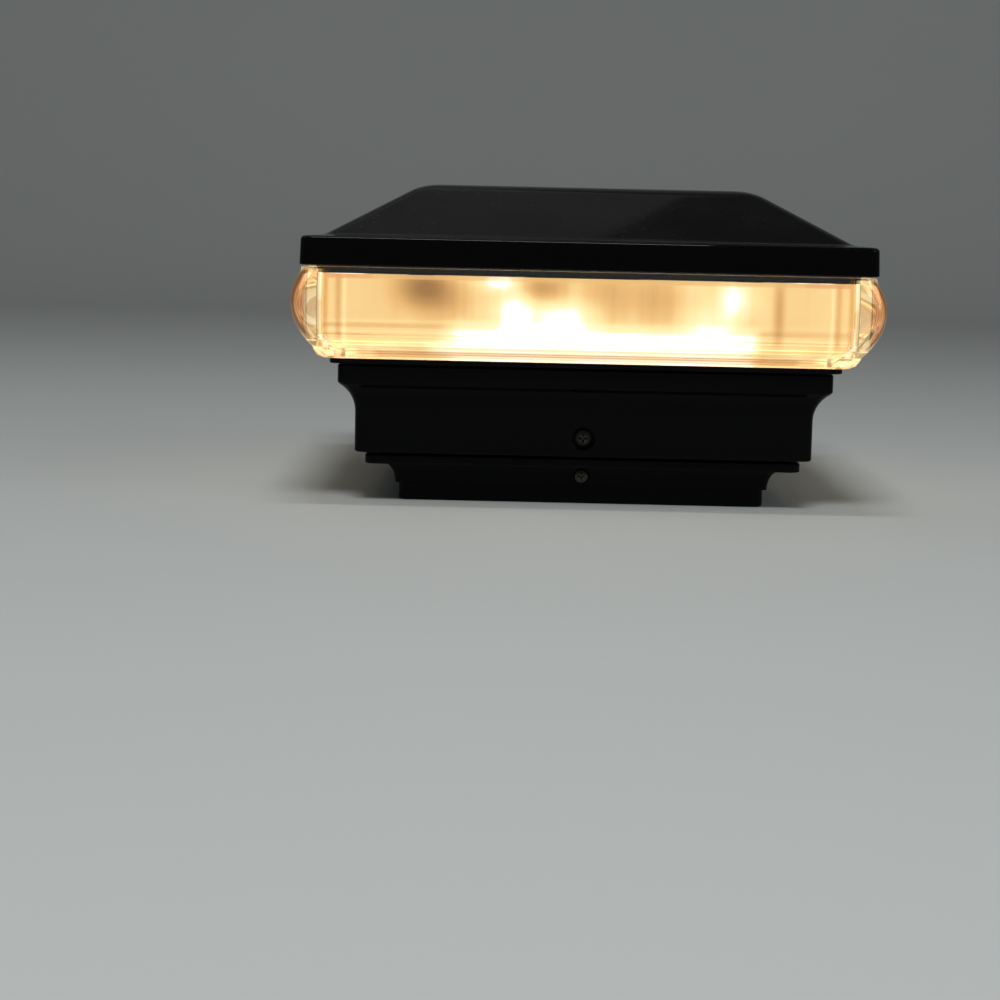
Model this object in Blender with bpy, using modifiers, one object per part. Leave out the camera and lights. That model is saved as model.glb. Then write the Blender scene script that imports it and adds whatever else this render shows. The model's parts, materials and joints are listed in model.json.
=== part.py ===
"""A lighted cap for a square fence post, as the separate pieces it comes apart into.

Metres, +Z up, the front towards -Y. The origin is the middle of the bottom rim.

The base is two mouldings: an adapter that slips over the post, and a skirt screwed to it.
The head is a hipped roof with a solar panel, a thick clear lens, and a tray that holds two
cells and closes the lamp chamber. Four long screws through the tray clamp the three
together. The whole head drops into the skirt and lifts off it. Under the tray, a battery
door swings on a pin and a switch knob slides.
"""

import math

import bmesh
import bpy
from mathutils import Matrix, Vector

# Fits
GAP = 0.0003  # between pieces that touch
POST_HALF = 0.0508  # half of a nominal 4 in vinyl post
SOCKET_HALF = POST_HALF + 0.0004

# Square mouldings
CORNER_RADIUS = 0.0025
CORNER_STEPS = 3
WALL = 0.0024

# Adapter: the lower tier of the base
ADAPTER_BAND_HALF = 0.0590
ADAPTER_BAND_TOP = 0.0055
ADAPTER_COVE_HALF = 0.0603
ADAPTER_COVE_TOP_HALF = 0.0650
ADAPTER_COVE_BOTTOM = 0.0061
LEDGE_HALF = 0.0695
LEDGE_BOTTOM = 0.0125
LEDGE_TOP = 0.0155
STOP_HALF = 0.0460  # inner edge of the ledge that the post's end meets
STOP_BOTTOM = 0.0135
COLLAR_HALF = 0.0656
COLLAR_TOP = 0.0270
RIB_OFFSET = 0.0300
RIB_WIDTH = 0.0024
PAD_WIDTH = 0.0090
POST_SCREW_Z = 0.0090
POST_SCREW_SEAT = 0.0594  # distance of the seat under the screw's head from the axis

# Skirt: the upper tier of the base
SKIRT_BOTTOM = 0.0164
SKIRT_BAND_HALF = 0.0727
SKIRT_COVE_BOTTOM = 0.0293
SKIRT_COVE_RADIUS = 0.0106
SKIRT_COVE_TURN = 56  # degrees
SKIRT_TOP_HALF = 0.0780
SKIRT_TOP_BAND_BOTTOM = 0.0386
SKIRT_TOP = 0.0446
SKIRT_INNER_HALF = 0.0756
SHELF_HALF = 0.0620
ADAPTER_SCREW_Z = 0.0222
RECESS_RADIUS = 0.0035
RECESS_FLOOR = 0.0686  # distance of the recess floor from the axis
BOSS_END = 0.0663

# Tray: the floor of the lamp chamber
TRAY_BOTTOM = SKIRT_TOP + GAP
TRAY_RIM_TOP = TRAY_BOTTOM + 0.0015
TRAY_TOP = TRAY_BOTTOM + 0.0020
TRAY_HALF = 0.0816
TRAY_STEP_HALF = 0.0765
SPIGOT_HALF = SKIRT_INNER_HALF - 0.0006
SPIGOT_BOTTOM = 0.0402
BOX_HALF = (0.0185, 0.0310)
BOX_TOP = 0.0635
CAVITY_HALF = (0.0155, 0.0285)
CAVITY_TOP = 0.0617

# Lens
LENS_BOTTOM = TRAY_RIM_TOP + GAP
LENS_HALF = 0.0920
LENS_BULGE_MIDDLE = 0.0643
LENS_BULGE_RADIUS = 0.0168
LENS_BULGE_TURN = 33.5
LENS_NECK_HALF = 0.0890
LENS_NECK_TOP = 0.0752
LENS_TONGUE_HALF = 0.0869
LENS_TONGUE_TOP = 0.0778
LENS_INNER_HALF = 0.0844
LENS_FOOT_HALF = 0.0772
LENS_REBATE_HALF = 0.0806
# Half width, and height above the bottom, of the steps at the foot of the lens
LENS_STEPS = ((0.0826, 0), (0.0842, 0.0008), (0.0854, 0.0027), (0.0856, 0.0035), (0.0882, 0.0065))
LENS_INNER_STEPS = ((LENS_INNER_HALF, 0.0083), (0.0824, 0.0053), (LENS_FOOT_HALF, 0.0037))
LENS_REBATE_TOP = 0.0014  # above the bottom
RETAINER_HALF = 0.0840
RETAINER_INNER_HALF = 0.0816
RETAINER_BOTTOM = 0.0724
SLEEVE_HALF = 0.0839
SLEEVE_WALL = 0.0008
SLEEVE_BOTTOM = 0.0484
# Half width and height of the sleeve's foot, which steps in over the foot of the lens
SLEEVE_OUTER_STEPS = ((0.0768, SLEEVE_BOTTOM), (0.0768, 0.0508), (0.0820, 0.0525), (SLEEVE_HALF, 0.0552))
SLEEVE_INNER_STEPS = ((0.0816, 0.0533), (0.0759, 0.0516), (0.0759, SLEEVE_BOTTOM))

# Roof
RIM_BOTTOM = LENS_NECK_TOP + GAP
RIM_HALF = 0.0895
RIM_DRAFT = 0.0003
RIM_INNER_HALF = 0.0872
RIM_EDGE_RADIUS = 0.0013
RIM_SHOULDER = 0.0832  # where the rim's upper edge starts to round
SEAT_Z = 0.0796  # the flat inside the rim that the gasket presses on
SEAT_HALF = 0.0815
FLARE_HALF = 0.0841
FLARE_Z = 0.0849
FLARE_RADIUS = 0.0060
SLOPE = 29.3  # degrees
CROWN_RADIUS = 0.0170
CROWN_HALF = 0.0485
PANEL_RECESS_HALF = 0.0415
PANEL_RECESS_DEPTH = 0.0032
CEILING_THICKNESS = 0.0020

# Lamp parts
BOSS_REACH = 0.0530  # distance of the screw posts from the axis, both ways
LONG_BOSS_RADIUS = 0.00425
SHORT_BOSS_RADIUS = 0.0035
CEILING_HALF = 0.0812
CEILING_BOTTOM = 0.0755
CEILING_TOP = 0.0770
LED_REACH = 0.0330
LED_RADIUS = 0.0025
LED_TIP = 0.0665
BOARD_THICKNESS = 0.0016

# Cells
CELL_RADIUS = 0.0071
CELL_LENGTH = 0.0505
CELL_REACH = 0.0076
CELL_Z = 0.0530
CONTACT_THICKNESS = 0.0004

# Battery door
DOOR_TOP = TRAY_BOTTOM - GAP
DOOR_THICKNESS = 0.0018
DOOR_HALF = (0.0183, 0.0310)
DOOR_TAB = 0.0020  # how far the finger tab stands out past the free edge
HINGE_X = -0.0210
HINGE_Z = 0.0425
KNUCKLE_RADIUS = 0.0021
ARM_REACH = 0.0019  # half the thickness of the arms that carry the tray's knuckles
PIN_RADIUS = 0.0008
PIN_BORE_RADIUS = 0.00115
KNUCKLE_EDGES = (0.0097, 0.0100, 0.0200, 0.0203, 0.0300)  # from the middle out, both ways

# Switch
SWITCH_X = 0.0460
SWITCH_HALF = (0.0070, 0.0040)
SWITCH_HEIGHT = 0.0052
SWITCH_SLOT_HALF = (0.0041, 0.0023)
SWITCH_SLOT_DEPTH = 0.0030
KNOB_SIZE = (0.0040, 0.0040, 0.0049)

# Screws
SMALL_SHANK_RADIUS = 0.0015
SHANK_HOLE_RADIUS = 0.0018
SIDES = 12

SIDE_TURNS = {"front": 0, "right": 90, "back": 180, "left": 270}
CORNERS = {
    "front_left": (-1, -1),
    "front_right": (1, -1),
    "back_right": (1, 1),
    "back_left": (-1, 1),
}

COLOURS = {
    "gloss_black": ((0.012, 0.012, 0.014), 0.18, 0.0),
    "satin_black": ((0.018, 0.018, 0.020), 0.42, 0.0),
    "clear": ((0.95, 0.93, 0.88), 0.03, 0.0),
    "milky": ((0.90, 0.82, 0.66), 0.50, 0.0),
    "white": ((0.86, 0.84, 0.80), 0.45, 0.0),
    "seal": ((0.030, 0.030, 0.032), 0.85, 0.0),
    "cell_blue": ((0.020, 0.028, 0.075), 0.22, 0.0),
    "steel": ((0.62, 0.62, 0.61), 0.32, 1.0),
    "dark_steel": ((0.10, 0.10, 0.11), 0.38, 1.0),
    "nickel": ((0.72, 0.70, 0.66), 0.28, 1.0),
    "board_green": ((0.020, 0.120, 0.050), 0.40, 0.0),
    "chip_black": ((0.015, 0.015, 0.016), 0.50, 0.0),
    "ferrite": ((0.060, 0.055, 0.050), 0.60, 0.0),
    "can_silver": ((0.70, 0.71, 0.72), 0.30, 1.0),
    "led_warm": ((0.98, 0.88, 0.62), 0.10, 0.0),
    "cell_green": ((0.060, 0.260, 0.120), 0.35, 0.0),
    "lead_red": ((0.550, 0.030, 0.025), 0.45, 0.0),
    "lead_black": ((0.020, 0.020, 0.020), 0.45, 0.0),
    "knob_white": ((0.78, 0.78, 0.76), 0.40, 0.0),
}


# Scene, collections and looks


def clear_scene():
    for old in list(bpy.data.objects):
        bpy.data.objects.remove(old)


def new_collection(name):
    made = bpy.data.collections.new(name)
    bpy.context.scene.collection.children.link(made)
    return made


clear_scene()
PARTS = new_collection("fence_post_cap")
CUTTERS = new_collection("cutters")


def look_of(piece_name, look):
    """The piece's own Principled material, in one of the named looks."""
    colour, roughness, metallic = COLOURS[look]
    material = bpy.data.materials.new(piece_name)
    material.use_nodes = True
    shader = material.node_tree.nodes["Principled BSDF"]
    shader.inputs["Base Color"].default_value = (*colour, 1.0)
    shader.inputs["Roughness"].default_value = roughness
    shader.inputs["Metallic"].default_value = metallic
    if look == "clear":
        shader.inputs["Transmission Weight"].default_value = 1.0
        shader.inputs["IOR"].default_value = 1.49
    return material


def place(name, data, look, parent=None):
    """An object in the parts, or in the cutters where it has no look."""
    made = bpy.data.objects.new(name, data)
    if look is None:
        CUTTERS.objects.link(made)
        made.hide_render = True
        made.display_type = "WIRE"
        return made
    PARTS.objects.link(made)
    data.materials.clear()
    data.materials.append(look_of(name, look))
    made.parent = parent
    return made


def pivot(name, location):
    """An empty on a joint's axis, the parent of what moves there."""
    made = bpy.data.objects.new(name, None)
    made.location = location
    PARTS.objects.link(made)
    return made


def hang(piece, parent):
    """Parents a piece without moving it: the parents here are only shifted."""
    piece.parent = parent
    piece.location = piece.location - parent.location


# Shapes


def mesh_from(name, bm):
    mesh = bpy.data.meshes.new(name)
    bm.to_mesh(mesh)
    bm.free()
    return mesh


def smooth(mesh, sharp_angle=35):
    mesh.shade_smooth()
    mesh.set_sharp_from_angle(angle=math.radians(sharp_angle))


def arc(centre, radius, start, end, steps):
    """Points of an arc in the (half width, height) plane, with angles in degrees."""
    angles = [math.radians(start + (end - start) * i / steps) for i in range(steps + 1)]
    return [(centre[0] + radius * math.cos(a), centre[1] + radius * math.sin(a)) for a in angles]


def rounded_square(half, z, radius):
    """Corner points of a rounded square at height z, counter-clockwise from above."""
    points = []
    for quarter in range(4):
        middle = math.radians(45 + 90 * quarter)
        reach = (half - radius) * math.sqrt(2)
        cx, cy = reach * math.cos(middle), reach * math.sin(middle)
        for step in range(CORNER_STEPS + 1):
            a = math.radians(90 * quarter + 90 * step / CORNER_STEPS)
            points.append((cx + radius * math.cos(a), cy + radius * math.sin(a), z))
    return points


def moulding(name, path, look, closed=True, corner=CORNER_RADIUS):
    """A square moulding lofted through rounded squares, one for each (half, z) of its path.

    Every level has the same small corner radius, so the hips stay crisp at every width,
    which neither a turned nor a swept profile does. The path runs up the outside and down
    the inside. An open path is closed by a flat face at each end.
    """
    bm = bmesh.new()
    rings = [[bm.verts.new(p) for p in rounded_square(h, z, corner)] for h, z in path]
    count = len(rings[0])
    pairs = list(zip(rings, rings[1:]))
    if closed:
        pairs.append((rings[-1], rings[0]))
    for low, high in pairs:
        for i in range(count):
            j = (i + 1) % count
            bm.faces.new((low[i], low[j], high[j], high[i]))
    if not closed:
        bm.faces.new(list(reversed(rings[0])))
        bm.faces.new(rings[-1])
    mesh = mesh_from(name, bm)
    smooth(mesh)
    return place(name, mesh, look)


def square_ring(name, outer, inner, low, high, look):
    """A flat square ring, such as a gasket."""
    return moulding(name, [(outer, low), (outer, high), (inner, high), (inner, low)], look)


def block(name, low, high, look=None, edge=0.0):
    """A box between two corners, with its edges rounded."""
    bm = bmesh.new()
    bmesh.ops.create_cube(bm, size=1.0)
    size = Vector(high) - Vector(low)
    bmesh.ops.scale(bm, vec=size, verts=bm.verts)
    made = place(name, mesh_from(name, bm), look)
    made.location = (Vector(high) + Vector(low)) / 2
    if edge:
        rounding = made.modifiers.new("edges", "BEVEL")
        rounding.width = edge
        rounding.segments = 2
    return made


def rod(name, start, end, radius, look=None, sides=SIDES):
    """A round bar from one point to another."""
    start, end = Vector(start), Vector(end)
    bm = bmesh.new()
    length = (end - start).length
    bmesh.ops.create_cone(
        bm, cap_ends=True, segments=sides, radius1=radius, radius2=radius, depth=length
    )
    mesh = mesh_from(name, bm)
    smooth(mesh)
    made = place(name, mesh, look)
    made.location = (start + end) / 2
    made.rotation_euler = (end - start).to_track_quat("Z", "Y").to_euler()
    return made


def turned(name, profile, look, sides=SIDES):
    """A turned piece. Its (radius, z) profile runs from the top down the outer side."""
    mesh = bpy.data.meshes.new(name)
    steps = range(len(profile) - 1)
    mesh.from_pydata([(r, 0, z) for r, z in profile], [(i, i + 1) for i in steps], [])
    made = place(name, mesh, look)
    turning = made.modifiers.new("turn", "SCREW")
    turning.angle = math.tau
    turning.steps = sides
    turning.render_steps = sides
    turning.use_merge_vertices = True
    turning.merge_threshold = 0.00001
    turning.use_smooth_shade = False
    return made


def wire(name, points, radius, look):
    """A round wire along points."""
    curve = bpy.data.curves.new(name, "CURVE")
    curve.dimensions = "3D"
    curve.bevel_depth = radius
    curve.bevel_resolution = 2
    curve.use_fill_caps = True
    line = curve.splines.new("POLY")
    line.points.add(len(points) - 1)
    for spot, p in zip(line.points, points):
        spot.co = (*p, 1.0)
    return place(name, curve, look)


def smooth_route(route, steps=3):
    """Points along a Catmull-Rom curve through a route's own points."""
    spots = [Vector(p) for p in route]
    ends = [2 * spots[0] - spots[1], *spots, 2 * spots[-1] - spots[-2]]
    points = []
    for a, b, c, d in zip(ends, ends[1:], ends[2:], ends[3:]):
        for i in range(steps):
            t = i / steps
            bend = (2 * a - 5 * b + 4 * c - d) * t * t + (3 * b - a - 3 * c + d) * t * t * t
            points.append((2 * b + (c - a) * t + bend) / 2)
    return [*points, spots[-1]]


def combine(piece, others, operation):
    for other in others:
        step = piece.modifiers.new(other.name, "BOOLEAN")
        step.operation = operation
        step.object = other
        step.solver = "EXACT"


def cut(piece, *others):
    combine(piece, others, "DIFFERENCE")


def join(piece, *others):
    combine(piece, others, "UNION")


def settled(piece):
    """Gives a piece the mesh that its modifiers make, and removes them."""
    bpy.context.view_layer.update()
    seen = piece.evaluated_get(bpy.context.evaluated_depsgraph_get())
    mesh = bpy.data.meshes.new_from_object(seen)
    mesh.name = piece.name
    piece.modifiers.clear()
    piece.data = mesh
    return piece


def turn_to_side(piece, side):
    """Turns a piece that is made for the front about the upright axis, to another side."""
    spin = Matrix.Rotation(math.radians(SIDE_TURNS[side]), 4, "Z")
    piece.matrix_basis = spin @ piece.matrix_basis
    return piece


def screw(name, head, shank, head_z, length, look):
    """A pan-head screw that points down: head (radius, height) on a shank (radius)."""
    head_radius, head_height = head
    rounding = head_height * 0.45
    profile = [
        (0, head_z),
        (head_radius - rounding, head_z),
        (head_radius - rounding * 0.3, head_z - rounding * 0.3),
        (head_radius, head_z - rounding),
        (head_radius, head_z - head_height),
        (shank, head_z - head_height),
        (shank, head_z - head_height - length + shank),
        (shank * 0.4, head_z - head_height - length),
        (0, head_z - head_height - length),
    ]
    made = turned(name, profile, look)
    reach, width, depth = head_radius * 0.55, head_radius * 0.11, head_height * 0.55
    for i, (x, y) in enumerate(((reach, width), (width, reach))):
        slot = (x, y, head_z + GAP)
        cutter = block(f"{name}_drive_{i}", (-x, -y, head_z - depth - i * 0.0001), slot)
        cut(made, cutter)
    return settled(made)


# Base


def post_adapter():
    cove_width = ADAPTER_COVE_TOP_HALF - ADAPTER_COVE_HALF
    cove_height = LEDGE_BOTTOM - ADAPTER_COVE_BOTTOM
    cove = [
        (ADAPTER_COVE_TOP_HALF - cove_width * math.cos(a), ADAPTER_COVE_BOTTOM + cove_height * math.sin(a))
        for a in (math.radians(90 * i / 5) for i in range(6))
    ]
    inner = ADAPTER_BAND_HALF - WALL
    path = [
        (ADAPTER_BAND_HALF - 0.0008, 0),
        (ADAPTER_BAND_HALF, 0.0008),
        (ADAPTER_BAND_HALF, ADAPTER_BAND_TOP),
        (ADAPTER_COVE_HALF, ADAPTER_BAND_TOP + 0.0002),
        *cove,
        (LEDGE_HALF, LEDGE_BOTTOM),
        (LEDGE_HALF, LEDGE_TOP),
        (COLLAR_HALF, LEDGE_TOP),
        (COLLAR_HALF, COLLAR_TOP),
        (COLLAR_HALF - WALL, COLLAR_TOP),
        (COLLAR_HALF - WALL, LEDGE_TOP),
        (STOP_HALF, LEDGE_TOP),
        (STOP_HALF, STOP_BOTTOM),
        (inner, STOP_BOTTOM),
        (inner, 0.0006),
        (inner + 0.0004, 0),
    ]
    adapter = moulding("post_adapter", path, "satin_black")
    for side in SIDE_TURNS:
        backing = inner + 0.0005
        for where in (-1, 1):
            x = where * RIB_OFFSET
            low = (x - RIB_WIDTH / 2, -backing, 0.0010)
            high = (x + RIB_WIDTH / 2, -SOCKET_HALF, STOP_BOTTOM + 0.0005)
            join(adapter, turn_to_side(block(f"rib_{side}_{where}", low, high), side))
        low = (-PAD_WIDTH / 2, -backing, 0.0020)
        high = (PAD_WIDTH / 2, -SOCKET_HALF, STOP_BOTTOM + 0.0005)
        join(adapter, turn_to_side(block(f"screw_pad_{side}", low, high), side))
        for name, outer, depth, radius, z in (
            ("post_screw_seat", 0.0658, POST_SCREW_SEAT, 0.0026, POST_SCREW_Z),
            ("post_screw_hole", 0.0618, 0.0500, 0.0016, POST_SCREW_Z),
            ("collar_hole", 0.0680, 0.0600, SHANK_HOLE_RADIUS, ADAPTER_SCREW_Z),
        ):
            bore = rod(f"{name}_{side}", (0, -outer, z), (0, -depth, z), radius)
            cut(adapter, turn_to_side(bore, side))
    return adapter


def base_skirt():
    cove = arc(
        (SKIRT_BAND_HALF + SKIRT_COVE_RADIUS, SKIRT_COVE_BOTTOM),
        SKIRT_COVE_RADIUS,
        180,
        180 - SKIRT_COVE_TURN,
        5,
    )
    inner = SKIRT_BAND_HALF - WALL
    path = [
        (SKIRT_BAND_HALF - 0.0008, SKIRT_BOTTOM),
        (SKIRT_BAND_HALF, SKIRT_BOTTOM + 0.0008),
        *cove,
        (SKIRT_TOP_HALF - 0.0004, SKIRT_TOP_BAND_BOTTOM),
        (SKIRT_TOP_HALF, SKIRT_TOP_BAND_BOTTOM + 0.0005),
        (SKIRT_TOP_HALF, SKIRT_TOP - 0.0008),
        (SKIRT_TOP_HALF - 0.0008, SKIRT_TOP),
        (SKIRT_INNER_HALF, SKIRT_TOP),
        (SKIRT_INNER_HALF, SPIGOT_BOTTOM - 0.0006),
        (inner, 0.0338),
        (inner, SKIRT_COVE_BOTTOM),
        (SHELF_HALF, SKIRT_COVE_BOTTOM),
        (SHELF_HALF, COLLAR_TOP + GAP),
        (inner, COLLAR_TOP + GAP),
        (inner, SKIRT_BOTTOM),
    ]
    skirt = moulding("base_skirt", path, "gloss_black")
    for side in SIDE_TURNS:
        z = ADAPTER_SCREW_Z
        boss = rod(f"skirt_boss_{side}", (0, -0.0715, z), (0, -BOSS_END, z), 0.0055)
        recess = rod(f"recess_{side}", (0, -0.0740, z), (0, -RECESS_FLOOR, z), RECESS_RADIUS)
        hole = rod(f"boss_hole_{side}", (0, -0.0700, z), (0, -0.0655, z), SHANK_HOLE_RADIUS)
        join(skirt, turn_to_side(boss, side))
        cut(skirt, turn_to_side(recess, side), turn_to_side(hole, side))
    return skirt


def side_screw(name, mesh, side, z, head_face):
    """A copy of a screw, laid to point inward from one side of the base."""
    made = place(name, mesh.copy(), "steel")
    made.location = (0, -head_face, z)
    made.rotation_euler = (math.radians(90), 0, 0)
    return turn_to_side(made, side)


def base_screws():
    long = screw("adapter_screw", (0.0030, 0.0017), SMALL_SHANK_RADIUS, 0, 0.0065, None)
    short = screw("post_screw", (0.0023, 0.0013), 0.0012, 0, 0.0082, None)
    for side in SIDE_TURNS:
        fitted = side_screw(f"adapter_screw_{side}", long.data, side, ADAPTER_SCREW_Z, 0.0706)
        fitted.data.materials[0] = look_of(fitted.name, "dark_steel")
        side_screw(f"post_screw_{side}", short.data, side, POST_SCREW_Z, POST_SCREW_SEAT + 0.0016)
    for pattern in (long, short):
        bpy.data.objects.remove(pattern)


# Roof and panel


def roof_outline():
    """The roof's path: from its flat underside, down inside the rim, and up over the slope."""
    slope = math.radians(SLOPE)
    flare_end = (
        FLARE_HALF - FLARE_RADIUS * math.sin(slope),
        FLARE_Z + FLARE_RADIUS * (1 - math.cos(slope)),
    )
    crown_start = CROWN_HALF + CROWN_RADIUS * math.sin(slope)
    crown_z = flare_end[1] + (flare_end[0] - crown_start) * math.tan(slope)
    top = crown_z + CROWN_RADIUS * (1 - math.cos(slope))
    floor = top - PANEL_RECESS_DEPTH
    underside = floor - CEILING_THICKNESS

    def inner_z(half):
        return flare_end[1] + (flare_end[0] - half) * math.tan(slope) - WALL / math.cos(slope)

    under_half = flare_end[0] - (underside - inner_z(flare_end[0])) / math.tan(slope)
    path = [
        (under_half, underside),
        (SEAT_HALF - 0.0010, inner_z(SEAT_HALF - 0.0010)),
        (SEAT_HALF, SEAT_Z + 0.0020),
        (SEAT_HALF, SEAT_Z),
        (RIM_INNER_HALF, SEAT_Z),
        (RIM_INNER_HALF, RIM_BOTTOM),
        (RIM_HALF - 0.0002, RIM_BOTTOM),
        (RIM_HALF, RIM_BOTTOM + 0.0003),
        *arc((RIM_HALF - RIM_DRAFT - RIM_EDGE_RADIUS, RIM_SHOULDER), RIM_EDGE_RADIUS, 0, 90, 3),
        *arc((FLARE_HALF, FLARE_Z + FLARE_RADIUS), FLARE_RADIUS, -90, -90 - SLOPE, 3),
        *arc((CROWN_HALF, top - CROWN_RADIUS), CROWN_RADIUS, 90 - SLOPE, 90, 5),
        (PANEL_RECESS_HALF, top),
        (PANEL_RECESS_HALF, floor),
    ]
    return path, floor, underside


def roof_cap(path, floor, underside):
    roof = moulding("roof_cap", path, "gloss_black", closed=False)
    into = underside + 0.0006
    for corner, (sx, sy) in CORNERS.items():
        x, y = sx * BOSS_REACH, sy * BOSS_REACH
        low = TRAY_TOP + GAP
        join(roof, rod(f"long_boss_{corner}", (x, y, low), (x, y, into), LONG_BOSS_RADIUS))
        pilot = rod(f"long_pilot_{corner}", (x, y, low - 0.001), (x, y, 0.0600), SHANK_HOLE_RADIUS)
        cut(roof, pilot)
    for side in SIDE_TURNS:
        low = CEILING_TOP + GAP
        foot, head = (0, -BOSS_REACH, low), (0, -BOSS_REACH, into)
        boss = rod(f"short_boss_{side}", foot, head, SHORT_BOSS_RADIUS)
        pilot = rod(
            f"short_pilot_{side}",
            (0, -BOSS_REACH, low - 0.001),
            (0, -BOSS_REACH, low + 0.008),
            SHANK_HOLE_RADIUS,
        )
        join(roof, turn_to_side(boss, side))
        cut(roof, turn_to_side(pilot, side))
    cut(roof, rod("panel_lead_hole", (0, 0.020, underside - 0.001), (0, 0.020, floor + 0.001), 0.0025))
    return roof


def solar_panel(floor):
    frame_half = PANEL_RECESS_HALF - GAP
    low = floor + GAP
    square_ring("panel_seal", frame_half, 0.0376, low, low + 0.0017, "seal")
    cells = moulding(
        "solar_cells", [(0.0372, low), (0.0372, low + 0.0014)], "cell_blue", closed=False
    )
    cut(cells, rod("cell_lead_hole", (0, 0.020, low - 0.001), (0, 0.020, low + 0.0008), 0.0022))
    glass = low + 0.0020
    moulding(
        "panel_cover",
        [(frame_half, glass), (frame_half, glass + 0.0005), (frame_half - 0.0003, glass + 0.0008)],
        "clear",
        closed=False,
        corner=0.002,
    )


# Lens


def lens_ring():
    bulge = arc(
        (LENS_HALF - LENS_BULGE_RADIUS, LENS_BULGE_MIDDLE),
        LENS_BULGE_RADIUS,
        -LENS_BULGE_TURN,
        LENS_BULGE_TURN,
        8,
    )
    path = [
        (LENS_REBATE_HALF, LENS_BOTTOM),
        *((half, LENS_BOTTOM + up) for half, up in LENS_STEPS),
        *bulge,
        (LENS_NECK_HALF, LENS_NECK_TOP),
        (LENS_TONGUE_HALF, LENS_NECK_TOP),
        (LENS_TONGUE_HALF, LENS_TONGUE_TOP),
        (LENS_INNER_HALF, LENS_TONGUE_TOP),
        *((half, LENS_BOTTOM + up) for half, up in LENS_INNER_STEPS),
        (LENS_FOOT_HALF, LENS_BOTTOM + LENS_REBATE_TOP),
        (LENS_REBATE_HALF, LENS_BOTTOM + LENS_REBATE_TOP),
    ]
    moulding("lens_ring", path, "clear")


def lens_gaskets():
    low, high = LENS_TONGUE_TOP + GAP, SEAT_Z - GAP
    square_ring("lens_gasket_top", LENS_TONGUE_HALF - 0.0001, LENS_INNER_HALF, low, high, "seal")
    high = LENS_BOTTOM + LENS_REBATE_TOP - GAP
    outer, inner = LENS_REBATE_HALF - GAP, LENS_FOOT_HALF + GAP
    square_ring("lens_gasket_bottom", outer, inner, LENS_BOTTOM, high, "seal")


def lens_retainer():
    low, high = RETAINER_BOTTOM, SEAT_Z - GAP
    square_ring("lens_retainer", RETAINER_HALF, RETAINER_INNER_HALF, low, high, "satin_black")


def diffuser_sleeve():
    """The milky sheet behind the lens: upright, then stepping in over the lens's foot."""
    top = RETAINER_BOTTOM - GAP
    inner_half = SLEEVE_HALF - SLEEVE_WALL
    upright = [(SLEEVE_HALF, top), (inner_half, top), (inner_half, 0.0554)]
    moulding("diffuser_sleeve", [*SLEEVE_OUTER_STEPS, *upright, *SLEEVE_INNER_STEPS], "milky")


# Lamp parts above the chamber


def ceiling_plate():
    path = [(CEILING_HALF, CEILING_BOTTOM), (CEILING_HALF, CEILING_TOP)]
    plate = moulding("ceiling_plate", path, "white", closed=False)
    below, above = CEILING_BOTTOM - 0.001, CEILING_TOP + 0.001
    holes = [(f"lead_{y}", 0, y, 0.0028) for y in (-0.024, 0.024)]
    for corner, (sx, sy) in CORNERS.items():
        holes.append((f"boss_{corner}", sx * BOSS_REACH, sy * BOSS_REACH, LONG_BOSS_RADIUS + 0.0004))
        holes.append((f"led_{corner}", sx * LED_REACH, sy * LED_REACH, 0.0033))
    for name, x, y, radius in holes:
        cut(plate, rod(f"ceiling_{name}", (x, y, below), (x, y, above), radius))
    pattern = screw("ceiling_screw", (0.0030, 0.0018), SMALL_SHANK_RADIUS, 0, 0.0085, None)
    for side in SIDE_TURNS:
        hole = rod(
            f"ceiling_screw_hole_{side}",
            (0, -BOSS_REACH, below),
            (0, -BOSS_REACH, above),
            SHANK_HOLE_RADIUS,
        )
        cut(plate, turn_to_side(hole, side))
        fitted = place(f"ceiling_screw_{side}", pattern.data.copy(), "steel")
        fitted.location = (0, -BOSS_REACH, CEILING_BOTTOM - GAP - 0.0018)
        fitted.rotation_euler = (math.pi, 0, 0)
        turn_to_side(fitted, side)
    bpy.data.objects.remove(pattern)


def led(name, x, y):
    """A round LED that hangs from its board: a collar, a body and a domed tip."""
    collar_top = CEILING_TOP
    dome_start = LED_TIP + LED_RADIUS
    dome = [
        (LED_RADIUS * math.cos(a), dome_start - LED_RADIUS * math.sin(a))
        for a in (math.radians(90 * i / 4) for i in range(4))
    ]
    profile = [
        (0, collar_top),
        (0.0029, collar_top),
        (0.0029, collar_top - 0.0010),
        (LED_RADIUS, collar_top - 0.0010),
        *dome,
        (0, LED_TIP),
    ]
    made = turned(name, profile, "led_warm")
    made.location = (x, y, 0)


def boards():
    low = CEILING_TOP + GAP
    high = low + BOARD_THICKNESS
    for row, y in (("front", -LED_REACH), ("back", LED_REACH)):
        ends = ((-0.0380, y - 0.005, low), (0.0380, y + 0.005, high))
        block(f"led_board_{row}", *ends, "board_green", 0.0003)
    for corner, (sx, sy) in CORNERS.items():
        led(f"led_{corner}", sx * LED_REACH, sy * LED_REACH)
    block("circuit_board", (-0.0280, -0.0200, low), (0.0280, 0.0200, high), "board_green", 0.0003)
    top = high + GAP
    block("driver_chip", (-0.0040, -0.0025, top), (0.0025, 0.0025, top + 0.0016), "chip_black", 0.0003)
    turned(
        "boost_coil",
        [(0, 0.0050), (0.0030, 0.0050), (0.0030, 0.0042), (0.0023, 0.0038), (0.0023, 0.0012),
         (0.0030, 0.0008), (0.0030, 0), (0, 0)],
        "ferrite",
    ).location = (0.0120, -0.0080, top)
    turned(
        "capacitor",
        [(0, 0.0080), (0.0021, 0.0080), (0.0025, 0.0076), (0.0025, 0.0012), (0.0023, 0.0009),
         (0.0025, 0.0006), (0.0025, 0), (0, 0)],
        "can_silver",
    ).location = (0.0140, 0.0090, top)
    return top


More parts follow.
